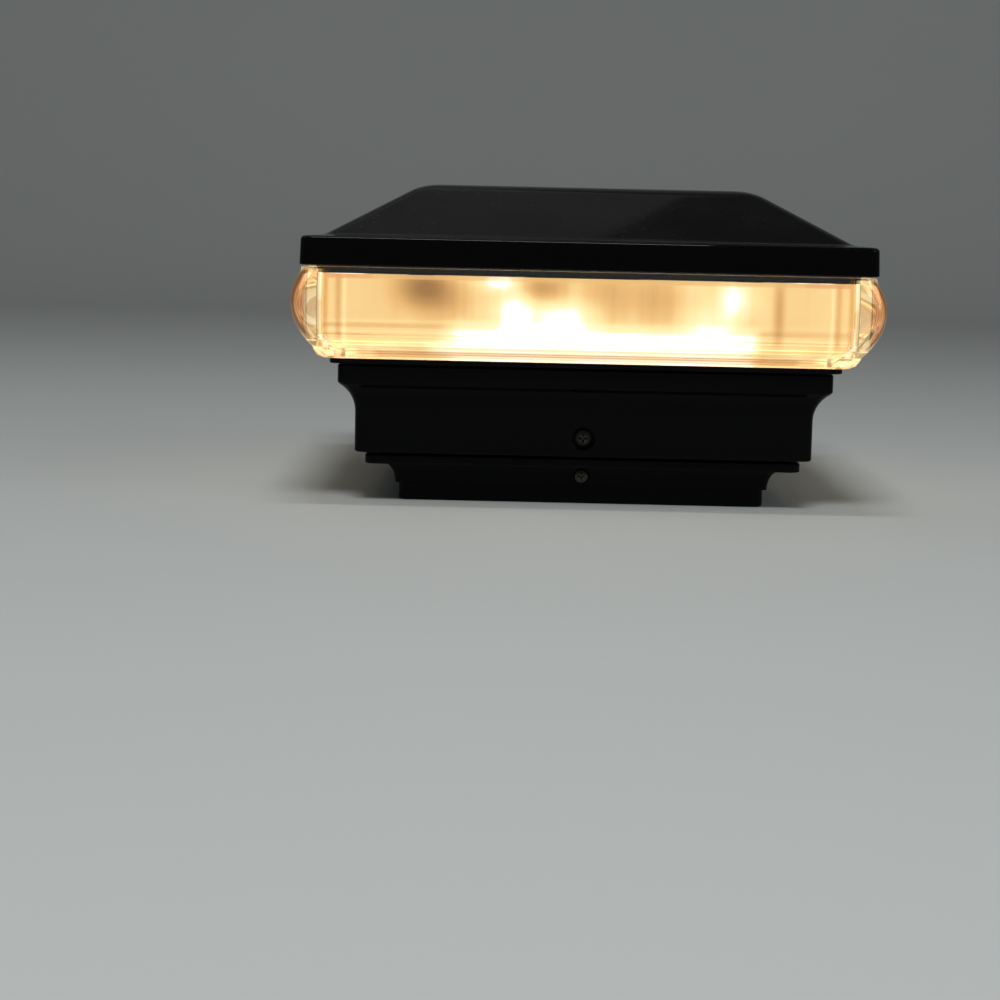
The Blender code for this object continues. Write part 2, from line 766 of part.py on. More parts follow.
# Tray, cells and door


def knuckle_spans(own):
    """The (low, high) stretches along the hinge that the tray or the door holds."""
    middle, door_low, door_high, tray_low, tray_high = KNUCKLE_EDGES
    if own == "door":
        return [(door_low, door_high), (-door_high, -door_low)]
    return [(-middle, middle), (tray_low, tray_high), (-tray_high, -tray_low)]


def head_tray():
    path = [
        (SPIGOT_HALF - 0.0020, TRAY_BOTTOM),
        (SPIGOT_HALF - 0.0020, SPIGOT_BOTTOM),
        (SPIGOT_HALF - 0.0006, SPIGOT_BOTTOM),
        (SPIGOT_HALF, SPIGOT_BOTTOM + 0.0006),
        (SPIGOT_HALF, TRAY_BOTTOM),
        (TRAY_HALF - 0.0006, TRAY_BOTTOM),
        (TRAY_HALF, TRAY_BOTTOM + 0.0004),
        (TRAY_HALF, TRAY_RIM_TOP - 0.0003),
        (TRAY_HALF - 0.0003, TRAY_RIM_TOP),
        (TRAY_STEP_HALF, TRAY_RIM_TOP),
        (TRAY_STEP_HALF - 0.0005, TRAY_TOP),
    ]
    tray = moulding("head_tray", path, "satin_black", closed=False)
    bx, by = BOX_HALF
    cx, cy = CAVITY_HALF
    join(tray, block("battery_box", (-bx, -by, TRAY_BOTTOM + 0.0005), (bx, by, BOX_TOP), edge=0.0008))
    for low, high in knuckle_spans("tray"):
        arm_high = (HINGE_X + ARM_REACH, high, TRAY_BOTTOM + 0.0004)
        arm = block(f"tray_arm_{low}", (HINGE_X - ARM_REACH, low, HINGE_Z), arm_high)
        ends = ((HINGE_X, low, HINGE_Z), (HINGE_X, high, HINGE_Z))
        join(tray, arm, rod(f"tray_knuckle_{low}", *ends, KNUCKLE_RADIUS))
    cut(tray, block("cell_cavity", (-cx, -cy, SPIGOT_BOTTOM), (cx, cy, CAVITY_TOP)))
    seal_low, seal_high = (-bx + 0.0005, -by + 0.0003, SPIGOT_BOTTOM + 0.0040), (bx - 0.0005, by - 0.0003)
    cut(tray, block("seal_recess", seal_low, (*seal_high, TRAY_BOTTOM + 0.0010)))
    bore = ((HINGE_X, -0.0320, HINGE_Z), (HINGE_X, 0.0320, HINGE_Z))
    cut(tray, rod("tray_pin_bore", *bore, PIN_BORE_RADIUS))
    for corner, (sx, sy) in CORNERS.items():
        x, y = sx * BOSS_REACH, sy * BOSS_REACH
        hole = ((x, y, TRAY_BOTTOM - 0.001), (x, y, TRAY_TOP + 0.001))
        cut(tray, rod(f"tray_hole_{corner}", *hole, SHANK_HOLE_RADIUS))
    for where in (-1, 1):
        y = where * 0.0265
        hole = ((0, y, CAVITY_TOP - 0.001), (0, y, BOX_TOP + 0.001))
        cut(tray, rod(f"cell_lead_hole_{where}", *hole, 0.0016))
    return tray


def tray_screws():
    pattern = screw("tray_screw", (0.0031, 0.0018), SMALL_SHANK_RADIUS, 0, 0.0145, None)
    for corner, (sx, sy) in CORNERS.items():
        fitted = place(f"tray_screw_{corner}", pattern.data.copy(), "steel")
        fitted.location = (sx * BOSS_REACH, sy * BOSS_REACH, TRAY_BOTTOM - GAP - 0.0018)
        fitted.rotation_euler = (math.pi, 0, 0)
    bpy.data.objects.remove(pattern)


def reflector_plate():
    low = TRAY_TOP + GAP
    high = low + 0.0008
    half = LENS_FOOT_HALF - 0.0008
    plate = moulding("reflector_plate", [(half, low), (half, high)], "white", closed=False)
    x, y = BOX_HALF[0] + 0.0004, BOX_HALF[1] + 0.0004
    cut(plate, block("reflector_window", (-x, -y, low - 0.001), (x, y, high + 0.001)))
    for corner, (sx, sy) in CORNERS.items():
        px, py = sx * BOSS_REACH, sy * BOSS_REACH
        hole = ((px, py, low - 0.001), (px, py, high + 0.001))
        cut(plate, rod(f"reflector_hole_{corner}", *hole, LONG_BOSS_RADIUS + 0.0004))


def cell(name, x, facing):
    """An AA cell along Y, its button towards +Y where facing is 1."""
    button = (0.0027, 0.0012)
    can = CELL_LENGTH - button[1]
    profile = [
        (0, CELL_LENGTH),
        (button[0], CELL_LENGTH),
        (button[0], can),
        (CELL_RADIUS - 0.0008, can),
        (CELL_RADIUS, can - 0.0008),
        (CELL_RADIUS, 0.0006),
        (CELL_RADIUS - 0.0006, 0),
        (0, 0),
    ]
    made = turned(name, profile, "cell_green", sides=24)
    made.location = (x, -0.0230 * facing, CELL_Z)
    made.rotation_euler = (math.radians(-90 * facing), 0, 0)


def spring(name, x, facing):
    """The conical contact spring at a cell's flat end."""
    turns, steps = 3, 8
    start, length = 0.0272, 0.0036
    points = []
    for i in range(turns * steps + 1):
        share = i / (turns * steps)
        radius = 0.0046 - 0.0020 * share
        a = math.tau * turns * share
        y = -facing * (start - length * share)
        points.append((x + radius * math.cos(a), y, CELL_Z + radius * math.sin(a)))
    wire(name, points, 0.0003, "nickel")


def contacts():
    for name, x, facing in (("left", -CELL_REACH, 1), ("right", CELL_REACH, -1)):
        cell(f"cell_{name}", x, facing)
        spring(f"cell_spring_{name}", x, facing)
    wall = CAVITY_HALF[1] - GAP
    low, high = CELL_Z - 0.0055, CELL_Z + 0.0055
    near, far = -wall, -wall + CONTACT_THICKNESS
    left = ((-0.0138, near, low), (-0.0014, far, high))
    right = ((0.0014, near, low), (0.0138, far, high))
    block("contact_negative", *left, "nickel")
    block("contact_positive", *right, "nickel")
    block("contact_link", (-0.0138, -far, low), (0.0138, -near, high), "nickel")


def door_seal():
    low, high = TRAY_BOTTOM, TRAY_BOTTOM + 0.0007
    x, y = BOX_HALF[0] - 0.0008, BOX_HALF[1] - 0.0006
    seal = block("door_seal", (-x, -y, low), (x, y, high), "seal")
    ix, iy = CAVITY_HALF[0] + 0.0003, CAVITY_HALF[1] + 0.0003
    cut(seal, block("door_seal_window", (-ix, -iy, low - 0.001), (ix, iy, high + 0.001)))


def battery_door(hinge):
    x, y = DOOR_HALF
    low = DOOR_TOP - DOOR_THICKNESS
    door = block("battery_door", (-x, -y, low), (x, y, DOOR_TOP), "satin_black")
    join(door, block("door_tab", (x - 0.001, -0.0050, low), (x + DOOR_TAB, 0.0050, low + 0.0014)))
    for a, b in knuckle_spans("door"):
        arm = block(f"door_arm_{a}", (HINGE_X, a, low + 0.0002), (-x + 0.0010, b, DOOR_TOP - 0.0004))
        knuckle = rod(f"door_knuckle_{a}", (HINGE_X, a, HINGE_Z), (HINGE_X, b, HINGE_Z), KNUCKLE_RADIUS)
        join(door, arm, knuckle)
    bore = ((HINGE_X, -0.0320, HINGE_Z), (HINGE_X, 0.0320, HINGE_Z))
    cut(door, rod("door_pin_bore", *bore, PIN_BORE_RADIUS))
    hang(settled_at_origin(door), hinge)


def settled_at_origin(piece):
    """Settles a piece and moves its place into its mesh, so that its origin can be set."""
    settled(piece)
    piece.data.transform(piece.matrix_basis)
    piece.matrix_basis = Matrix.Identity(4)
    return piece


def hinge_pin():
    start, end = -0.0304, 0.0304
    pin = rod("hinge_pin", (HINGE_X, start, HINGE_Z), (HINGE_X, end, HINGE_Z), PIN_RADIUS, "steel")
    head = rod("pin_head", (HINGE_X, start - 0.0008, HINGE_Z), (HINGE_X, start, HINGE_Z), 0.0015)
    join(pin, head)


def switch(slider):
    top = TRAY_BOTTOM - GAP
    x, y = SWITCH_HALF
    low = top - SWITCH_HEIGHT
    body = block("switch_body", (SWITCH_X - x, -y, low), (SWITCH_X + x, y, top), "chip_black", 0.0003)
    sx, sy = SWITCH_SLOT_HALF
    slot_low = (SWITCH_X - sx, -sy, low - 0.001)
    cut(body, block("switch_slot", slot_low, (SWITCH_X + sx, sy, low + SWITCH_SLOT_DEPTH)))
    kx, ky, kz = KNOB_SIZE
    knob_top = low + SWITCH_SLOT_DEPTH - GAP
    left = SWITCH_X - sx + GAP
    ends = ((left, -ky / 2, knob_top - kz), (left + kx, ky / 2, knob_top))
    hang(block("switch_knob", *ends, "knob_white", 0.0004), slider)


# Leads


def leads(floor, board_top):
    end = board_top + 0.0006
    for name, look, side in (("red", "lead_red", 1), ("black", "lead_black", -1)):
        x = side * 0.0011
        panel = [
            (x, 0.0200, floor - 0.0002),
            (x, 0.0200, floor - 0.0060),
            (side * 0.0030, 0.0180, 0.0880),
            (side * 0.0060, 0.0160, 0.0830),
            (side * 0.0070, 0.0150, end),
        ]
        wire(f"panel_lead_{name}", smooth_route(panel), 0.0006, look)
        battery = [
            (x * 0.6, -0.0265, CAVITY_TOP + 0.0004),
            (x * 0.6, -0.0265, BOX_TOP + 0.0030),
            (x, -0.0240, CEILING_BOTTOM - 0.0030),
            (x, -0.0240, CEILING_TOP + 0.0030),
            (side * 0.0020, -0.0215, end + 0.0022),
            (side * 0.0050, -0.0180, end + 0.0016),
            (side * 0.0060, -0.0165, end),
        ]
        wire(f"battery_lead_{name}", smooth_route(battery), 0.0005, look)


def build():
    post_adapter()
    base_skirt()
    base_screws()
    path, floor, underside = roof_outline()
    roof_cap(path, floor, underside)
    solar_panel(floor)
    lens_ring()
    lens_gaskets()
    lens_retainer()
    diffuser_sleeve()
    ceiling_plate()
    board_top = boards()
    head_tray()
    tray_screws()
    reflector_plate()
    contacts()
    door_seal()
    hinge_pin()
    battery_door(pivot("battery_door_hinge", (HINGE_X, 0, HINGE_Z)))
    switch(pivot("switch_slide", (SWITCH_X, 0, TRAY_BOTTOM - SWITCH_HEIGHT)))
    leads(floor, board_top)


build()
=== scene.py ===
"""The looks of a lighted cap for a square fence post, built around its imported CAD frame.

The file is laid out as an add-on: settings in property groups, one operator for each piece
or group of like pieces, and a panel that lists them. Run as a script, it makes everything.
All pieces are in metres in the frame's own coordinates, +Z up, the front towards -Y.
"""

import json
import math

import bmesh
import bpy
from bpy.props import FloatProperty, FloatVectorProperty, IntProperty, PointerProperty
from mathutils import Euler, Matrix, Vector


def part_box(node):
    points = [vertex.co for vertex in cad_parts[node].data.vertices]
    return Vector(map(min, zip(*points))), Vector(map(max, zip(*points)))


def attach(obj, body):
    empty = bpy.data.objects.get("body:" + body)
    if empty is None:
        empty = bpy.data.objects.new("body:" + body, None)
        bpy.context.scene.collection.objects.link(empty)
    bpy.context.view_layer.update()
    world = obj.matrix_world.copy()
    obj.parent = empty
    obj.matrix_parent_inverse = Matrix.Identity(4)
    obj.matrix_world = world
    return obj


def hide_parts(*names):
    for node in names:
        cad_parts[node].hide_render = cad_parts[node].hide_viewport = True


bl_info = {
    "name": "Lighted post cap",
    "version": (1, 0, 0),
    "blender": (4, 5, 0),
    "location": "View3D > Sidebar > Post cap",
    "description": "Builds a lighted cap for a square fence post around its CAD frame",
    "category": "Object",
}

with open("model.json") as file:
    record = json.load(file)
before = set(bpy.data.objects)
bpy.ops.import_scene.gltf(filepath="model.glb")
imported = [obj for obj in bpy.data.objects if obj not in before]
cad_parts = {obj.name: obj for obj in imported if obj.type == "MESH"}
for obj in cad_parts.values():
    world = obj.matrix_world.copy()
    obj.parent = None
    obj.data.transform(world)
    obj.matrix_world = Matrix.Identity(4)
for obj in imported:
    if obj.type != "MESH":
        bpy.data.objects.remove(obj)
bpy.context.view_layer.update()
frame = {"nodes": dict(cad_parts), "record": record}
SIDES = ("front", "right", "back", "left")
CORNERS = {
    "front_left": (-1, -1),
    "front_right": (1, -1),
    "back_right": (1, 1),
    "back_left": (-1, 1),
}
SLOT_OF = {s["node"]: s["material_slot"] for s in frame["record"]["subparts"]}


# Settings


def length(name, description, default):
    return FloatProperty(
        name=name,
        description=description,
        default=default,
        min=0.0,
        precision=5,
        subtype="DISTANCE",
        unit="LENGTH",
    )


def colour(name, description, default):
    return FloatVectorProperty(
        name=name,
        description=description,
        default=default,
        size=3,
        min=0.0,
        max=1.0,
        subtype="COLOR",
    )


def ratio(name, description, default, most=1.0):
    return FloatProperty(
        name=name, description=description, default=default, min=0.0, max=most, subtype="FACTOR"
    )


def turn(name, description, degrees):
    return FloatProperty(
        name=name,
        description=description,
        default=math.radians(degrees),
        subtype="ANGLE",
        unit="ROTATION",
    )


class PostCapRoofSettings(bpy.types.PropertyGroup):
    corner: length("Corner radius", "Rounding of the roof's hips and rim corners", 0.0026)
    slope: turn("Slope", "Pitch of the four roof faces", 29.3)
    flare: length("Flare radius", "Hollow curve where the slope meets the rim", 0.0060)
    crown: length("Crown radius", "Soft curve between the slope and the flat top", 0.0170)
    crown_half: length("Flat top", "Half width of the flat top", 0.0485)
    recess: length("Panel recess", "Depth of the recess that holds the solar panel", 0.0032)
    rim_edge: length("Rim edge", "Rounding of the rim's upper edge", 0.0013)


class PostCapLensSettings(bpy.types.PropertyGroup):
    corner: length("Corner radius", "Rounding of the lens's upright corners", 0.0040)
    bulge: length("Bulge radius", "Curve of the lens's outer face", 0.0168)
    step: length("Step", "Width of the small steps on the lens's foot", 0.0004)
    # Painted light: the colours below, scaled by the strength, are painted into the emission of the milky
    # sheet and the lens. They stand in for the light and shade that the lamps throw on them.
    hot: colour("Hot light", "Light straight in front of a lamp", (1.0, 0.95, 0.82))
    bright: colour("Bright light", "Light thrown up from the floor", (0.700, 0.620, 0.380))
    glow: colour("Glow", "Colour of the evenly lit lens", (0.650, 0.495, 0.225))
    dim: colour("Dim light", "Colour between the lamps", (0.520, 0.305, 0.105))
    tan: colour("Tan light", "Colour beside the shade of inner parts", (0.330, 0.165, 0.045))
    shade: colour("Shade", "Colour where inner parts hold back the light", (0.190, 0.082, 0.016))
    edge_light: colour("Edge light", "Light that leaves the ends of the lens", (0.500, 0.220, 0.085))
    # Painted shade: an orange-brown tint laid on the clear acrylic at its ends and along its painted shadow
    # and dark lines. It stands in for the light and shade seen through them.
    painted_end_tint: colour("Edge tint", "Tint of the acrylic at the ends of the lens", (0.62, 0.34, 0.19))
    strength: FloatProperty(
        name="Strength", description="Brightness of the lit sheet", default=1.6, min=0.0, max=20.0
    )


class PostCapBaseSettings(bpy.types.PropertyGroup):
    corner: length("Corner radius", "Rounding of the base's upright corners", 0.0022)
    edge: length("Edge radius", "Rounding of the mouldings' edges", 0.0007)
    recess: length("Recess radius", "Radius of the screw recesses", 0.0035)


class PostCapFinishSettings(bpy.types.PropertyGroup):
    black: colour("Black plastic", "Glossy black moulded plastic", (0.0012, 0.0012, 0.0015))
    dust: colour("Dust", "Fine dust that settles on upper faces", (0.16, 0.155, 0.145))
    steel: colour("Steel", "Plated screws", (0.63, 0.62, 0.60))
    cell: colour("Solar cell", "Dark silicon of the solar cells", (0.006, 0.010, 0.030))


class PostCapStageSettings(bpy.types.PropertyGroup):
    azimuth: turn("Azimuth", "Turn of the camera round the cap, to its right", -1.75)
    distance: length("Distance", "From the cap's axis to the camera, along the floor", 0.810)
    height: length("Height", "Height of the camera above the floor", 0.090)
    yaw: turn("Yaw", "Turn of the camera's axis off the cap's axis", 1.85)
    pitch: turn("Pitch", "Downward tilt of the camera", 6.8)
    roll: turn("Roll", "Roll of the camera", 1.28)
    lens: FloatProperty(
        name="Lens", description="Focal length", default=84.0, min=10.0, subtype="DISTANCE_CAMERA"
    )
    floor: colour("Floor", "Pale floor and backdrop", (0.60, 0.635, 0.625))
    world: ratio("Ambient", "Brightness of the even light from all round", 0.10)


class PostCapSettings(bpy.types.PropertyGroup):
    roof: PointerProperty(type=PostCapRoofSettings, name="Roof")
    lens: PointerProperty(type=PostCapLensSettings, name="Lens")
    base: PointerProperty(type=PostCapBaseSettings, name="Base")
    finish: PointerProperty(type=PostCapFinishSettings, name="Finish")
    stage: PointerProperty(type=PostCapStageSettings, name="Stage")
    smoothness: IntProperty(
        name="Smoothness", description="Steps in a rounded corner", default=7, min=2, max=16
    )


def settings():
    return bpy.context.scene.post_cap


# Shader nodes as expressions


class Value:
    """A shader socket that takes part in Python arithmetic."""

    def __init__(self, recipe, socket):
        self.recipe = recipe
        self.socket = socket

    def math(self, operation, *values):
        """A Math node on these values, in this order."""
        inputs = dict(enumerate(values))
        return self.recipe.node("ShaderNodeMath", {"operation": operation}, inputs)

    def __add__(self, other):
        return self.math("ADD", self, other)

    __radd__ = __add__

    def __sub__(self, other):
        return self.math("SUBTRACT", self, other)

    def __rsub__(self, other):
        return self.math("SUBTRACT", other, self)

    def __mul__(self, other):
        return self.math("MULTIPLY", self, other)

    __rmul__ = __mul__

    def __truediv__(self, other):
        return self.math("DIVIDE", self, other)

    def __pow__(self, other):
        return self.math("POWER", self, other)

    def __abs__(self):
        return self.math("ABSOLUTE", self)

    def above(self, limit):
        return self.math("GREATER_THAN", self, limit)

    def least(self, other):
        return self.math("MINIMUM", self, other)

    def most(self, other):
        return self.math("MAXIMUM", self, other)

    def sign(self):
        return self.math("SIGN", self)

    def wrapped(self, span):
        """The value within each repeat of a span, from 0 to the span."""
        return self.math("WRAP", self, span, 0.0)

    def clamped(self):
        return self.recipe.node("ShaderNodeClamp", {}, {0: self})

    def eased(self, low, high):
        """0 below low and 1 above high, with a smooth step between."""
        return self.recipe.node(
            "ShaderNodeMapRange",
            {"interpolation_type": "SMOOTHSTEP"},
            {"Value": self, "From Min": low, "From Max": high},
        )

    def hill(self, middle, width):
        """A smooth hill of height 1 round a value."""
        off = (self - middle) / width
        return self.math("EXPONENT", off * off * -1.0)


class Recipe:
    """The nodes of one procedural material, around its Principled shader."""

    def __init__(self, name):
        self.material = bpy.data.materials.new(name)
        self.material.use_nodes = True
        self.tree = self.material.node_tree
        self.shader = self.tree.nodes["Principled BSDF"]

    def node(self, kind, setup=None, inputs=None, output=0):
        """A node with its settings made first, then its inputs; gives one of its outputs."""
        made = self.tree.nodes.new(kind)
        for key, value in (setup or {}).items():
            if key == "stops":
                self.fill_ramp(made.color_ramp, value)
            else:
                setattr(made, key, value)
        for key, value in (inputs or {}).items():
            self.feed(made.inputs[key], value)
        return Value(self, made.outputs[output])

    def fill_ramp(self, ramp, stops):
        while len(ramp.elements) < len(stops):
            ramp.elements.new(0.5)
        for element, (place, shade) in zip(ramp.elements, stops):
            element.position = place
            element.color = (*shade, 1.0)

    def feed(self, socket, value):
        if isinstance(value, Value):
            self.tree.links.new(value.socket, socket)
        elif socket.type == "RGBA" and len(value) == 3:
            socket.default_value = (*value, 1.0)
        else:
            socket.default_value = value

    def surface(self, **values):
        """Feeds the shader's sockets, named with underscores for spaces."""
        for key, value in values.items():
            self.feed(self.shader.inputs[key.replace("_", " ")], value)
        return self.material

    def place(self, stretch=(1.0, 1.0, 1.0)):
        """Object coordinates, stretched."""
        spot = self.node("ShaderNodeTexCoord", output="Object")
        if stretch == (1.0, 1.0, 1.0):
            return spot
        inputs = {0: spot, 1: stretch}
        return self.node("ShaderNodeVectorMath", {"operation": "MULTIPLY"}, inputs)

    def axes(self):
        """The x, y and z of the object coordinates."""
        split = self.node("ShaderNodeSeparateXYZ", {}, {0: self.place()}).socket.node
        return [Value(self, out) for out in split.outputs]

    def noise(self, scale, detail=3.0, stretch=(1.0, 1.0, 1.0)):
        inputs = {"Vector": self.place(stretch), "Scale": scale, "Detail": detail}
        return self.node("ShaderNodeTexNoise", {}, inputs)

    def spots(self, scale, stretch=(1.0, 1.0, 1.0)):
        """The distance to the nearest of many scattered points, in cells."""
        inputs = {"Vector": self.place(stretch), "Scale": scale}
        return self.node("ShaderNodeTexVoronoi", {}, inputs)

    def mix(self, factor, first, second):
        """One colour over another."""
        made = self.node("ShaderNodeMix", {"data_type": "RGBA"}, {0: factor}).socket.node
        self.feed(made.inputs[6], first)
        self.feed(made.inputs[7], second)
        return Value(self, made.outputs[2])

    def upward(self):
        """How far a face points up, from 0 to 1."""
        normal = self.node("ShaderNodeNewGeometry", output="Normal")
        split = self.node("ShaderNodeSeparateXYZ", {}, {0: normal}, output=2)
        return split.clamped()

    def bump(self, height, distance, strength=1.0):
        inputs = {"Height": height, "Distance": distance, "Strength": strength}
        return self.node("ShaderNodeBump", {}, inputs)


# Finishes


def gloss_black(name="gloss_black", shine=0.17, smooth=0.015):
    """Glossy moulded plastic: a faint ripple, hairline scratches and dust on upper faces."""
    look = settings().finish
    r = Recipe(name)
    cloud = r.noise(38, 4)
    grain = r.noise(900, 2)
    scratch = r.noise(70, 6, (1.0, 9.0, 1.0)).eased(0.60, 0.72)
    specks = 1 - r.spots(420).eased(0.05, 0.16)
    settled = r.upward().eased(0.35, 0.95) * cloud.eased(0.35, 0.75)
    dusty = (settled * 0.020 + specks * settled * 0.25).clamped()
    rough = smooth + cloud * 0.035 + scratch * 0.03 + dusty * 0.5 + grain * 0.012
    ripple = r.noise(55, 2) * 0.6 + grain * 0.04
    return r.surface(
        Base_Color=r.mix(dusty, look.black, look.dust),
        Roughness=rough,
        Normal=r.bump(ripple, 0.00003, 0.55),
        IOR=1.50,
        Specular_IOR_Level=shine,
    )


def satin_black(name="satin_black"):
    """Fine spark-eroded texture on hidden and lower mouldings."""
    look = settings().finish
    r = Recipe(name)
    cloud = r.noise(45, 4)
    grain = r.noise(1900, 3)
    shade = [c * 1.6 for c in look.black]
    worn = [c * 2.6 for c in look.black]
    return r.surface(
        Base_Color=r.mix(cloud.eased(0.3, 0.8), shade, worn),
        Roughness=0.30 + cloud * 0.12 + grain * 0.08,
        Normal=r.bump(grain, 0.00004, 0.5),
        Specular_IOR_Level=0.08,
    )


def clear_acrylic(name="clear_acrylic"):
    """Thick clear moulded acrylic with a slow flow ripple; its emission is painted light that leaves its
    corners, foot and ends, with a painted shadow line and painted dark lines.
    """
    look = settings().lens
    r = Recipe(name)
    x, y, z = r.axes()
    flow = r.noise(26, 2, (1.0, 1.0, 2.6))
    haze = r.noise(240, 3)
    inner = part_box("diffuser_sleeve")[1].x
    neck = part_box("lens_ring")[1].z - 0.0030
    inward = abs(x).least(abs(y))
    # Painted light: the emission glows in the corner columns, the corner feet, the long foot, the lip and
    # the ends. It stands in for the sheet's light seen through the acrylic.
    column = inward.eased(inner - 0.0022, inner - 0.0012) * (1 - z.eased(neck - 0.0006, neck))
    lens_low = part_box("lens_ring")[0].z
    rise = (z - lens_low) * 1000
    across = 1 - inward.eased(0.046, 0.052)
    corner_foot = inward.eased(inner - 0.0090, inner - 0.0070) * (1 - rise.eased(4.5, 7.0))
    long_foot = rise.eased(2.4, 3.0) * (1 - rise.eased(5.6, 7.6)) * 0.26
    lip = (1 - rise.eased(1.2, 1.9)) * 0.20
    # Painted shadow: a dark line low across each side, where the painted glow is held back and the acrylic
    # is tinted.
    shadow = rise.hill(2.2, 0.60) * (1 - inward.eased(0.064, 0.068))
    end = inward.eased(inner + 0.0031, inner + 0.0036)
    # Painted shade: a thin dark upright line in each end, which darkens the painted glow and the acrylic's
    # colour there.
    painted_dark_line = inward.hill(inner + 0.0030, 0.00030) * z.eased(0.0540, 0.0570)
    streak = r.noise(90, 2, (1.0, 1.0, 0.2))
    # Colours of the painted glow: dim to glow in streaks, bright along the foot, and edge light at the lip
    # and ends.
    warm = r.mix(streak.eased(0.35, 0.65), look.dim, look.glow)
    warm = r.mix(long_foot.above(0.1) * across, warm, look.bright)
    warm = r.mix(lip.above(0.1), warm, look.edge_light)
    warm = r.mix(end, warm, [c * 0.60 for c in look.edge_light])
    warm = r.mix(painted_dark_line * 0.9, warm, [c * 0.08 for c in look.edge_light])
    lit = column.most(corner_foot) * (0.30 + flow * 0.20)
    lit = lit.most(long_foot).most(lip) * (1 - shadow)
    clear = r.mix(flow.eased(0.3, 0.7), (1.0, 0.985, 0.95), (0.985, 0.97, 0.93))
    # Painted shade: the ends and the shadow line of the clear acrylic are tinted orange-brown.
    clear = r.mix(end.most(shadow), clear, look.painted_end_tint)
    return r.surface(
        Base_Color=r.mix(painted_dark_line * 0.7, clear, [c * 0.4 for c in look.painted_end_tint]),
        Roughness=0.006 + haze * 0.012,
        Normal=r.bump(flow, 0.00005, 0.35),
        Transmission_Weight=1.0,
        IOR=1.49,
        Emission_Color=r.mix(lit.clamped(), (0.0, 0.0, 0.0), warm),
        Emission_Strength=look.strength,
    )


def face_axis(r):
    """Millimetres along each side, left to right as seen from outside, and up from the foot."""
    x, y, z = r.axes()
    facing_y = (abs(y) - abs(x)).above(0.0)
    along = facing_y * (x * y.sign() * -1.0) + (1 - facing_y) * (y * x.sign())
    return along * 1000, (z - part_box("diffuser_sleeve")[0].z) * 1000


def painted_light_sheet(name="painted_light_sheet"):
    """The milky sheet, its emission painted with the light that the lamps inside throw on it.

    Every side reads the same way from left to right: the painted shade of a screw post, a lamp's
    painted hot spot, the duller painted light past the battery box, the far lamp, and an even
    glow. Painted light thrown up from the floor of the chamber brightens the foot.
    """
    look = settings().lens
    r = Recipe(name)
    along, up = face_axis(r)
    cloud = r.noise(30, 3)
    curtain = r.noise(70, 3, (3.0, 3.0, 0.10)) - 0.5
    lines = r.noise(22, 4, (0.16, 0.16, 24.0)) - 0.5
    broken = r.noise(16, 3).eased(0.35, 0.65)
    middle = along.eased(-48, -38) * (1 - along.eased(50, 55))
    foot = 1 - up.eased(7.5, 13.0)
    # Painted light and shade: each patch gives a place along the side, a height, a width, a rise and a
    # change in the painted level. Positive changes are painted light; negative ones are painted shade.
    patches = (
        (-51, 20.0, 7.5, 5.2, -0.60),
        (-42, 17.0, 7.0, 5.0, -0.20),
        (-28, 22.6, 4.8, 2.8, 0.56),
        (-23, 14.0, 6.5, 4.8, 0.46),
        (-14, 20.4, 5.5, 3.2, -0.28),
        (-8, 13.0, 8.5, 4.4, 0.46),
        (4, 20.0, 7.0, 5.0, -0.14),
        (20, 18.5, 12.0, 5.5, -0.18),
        (45, 19.0, 6.5, 6.0, 0.34),
        (38, 12.0, 6.0, 4.4, 0.24),
        (59, 15.0, 1.6, 10.0, -0.26),
    )
    # Painted light: the level picks the glow's colour, from painted shade to the hot light in front of a
    # lamp.
    level = 0.60 + (cloud - 0.5) * 0.12 + curtain * (1 - foot) * (0.10 + middle * 0.22)
    level = level + foot * middle * 0.38 + lines * foot * (0.95 - middle * 0.25)
    # Painted shade in two broken bands low on the sheet, and a painted bright band below them.
    level = level - (up.hill(7.0, 0.4) + up.hill(4.4, 0.4)) * broken * 0.22 + up.hill(2.9, 0.5) * 0.12
    for place, height, width, rise, change in patches:
        level = level + along.hill(place, width) * up.hill(height, rise) * change
    ends = abs(along)
    # Painted light and shade near the ends of each side: a bright line, a dark line and darker ends.
    level = level + ends.hill(75.5, 0.7) * 0.10 - ends.hill(77.4, 0.9) * 0.16 - ends.eased(80.0, 81.5) * 0.20
    stops = [
        (0.0, look.shade), (0.25, look.tan), (0.50, look.dim),
        (0.68, look.glow), (0.86, look.bright), (1.0, look.hot),
    ]
    light = r.node("ShaderNodeValToRGB", {"stops": stops}, {0: level.clamped()})
    # Painted light: a rosy band under the rim, redder near the ends of each side.
    under_rim = up.eased(22.0, 22.5)
    far = ends.eased(66, 68)
    rosy = r.mix(far, look.dim, look.edge_light)
    light = r.mix(under_rim * (0.35 + broken * 0.5), light, rosy)
    # Painted shade: a dark band along the foot of the sheet, except near the ends of each side.
    foot_shade_band = up.hill(1.5, 0.45) * (1 - ends.eased(70, 74))
    light = r.mix(foot_shade_band * 0.85, light, [c * 0.30 for c in look.edge_light])
    return r.surface(
        Base_Color=(0.25, 0.19, 0.12),
        Roughness=0.42 + cloud * 0.1,
        Emission_Color=light,
        Emission_Strength=look.strength,
    )


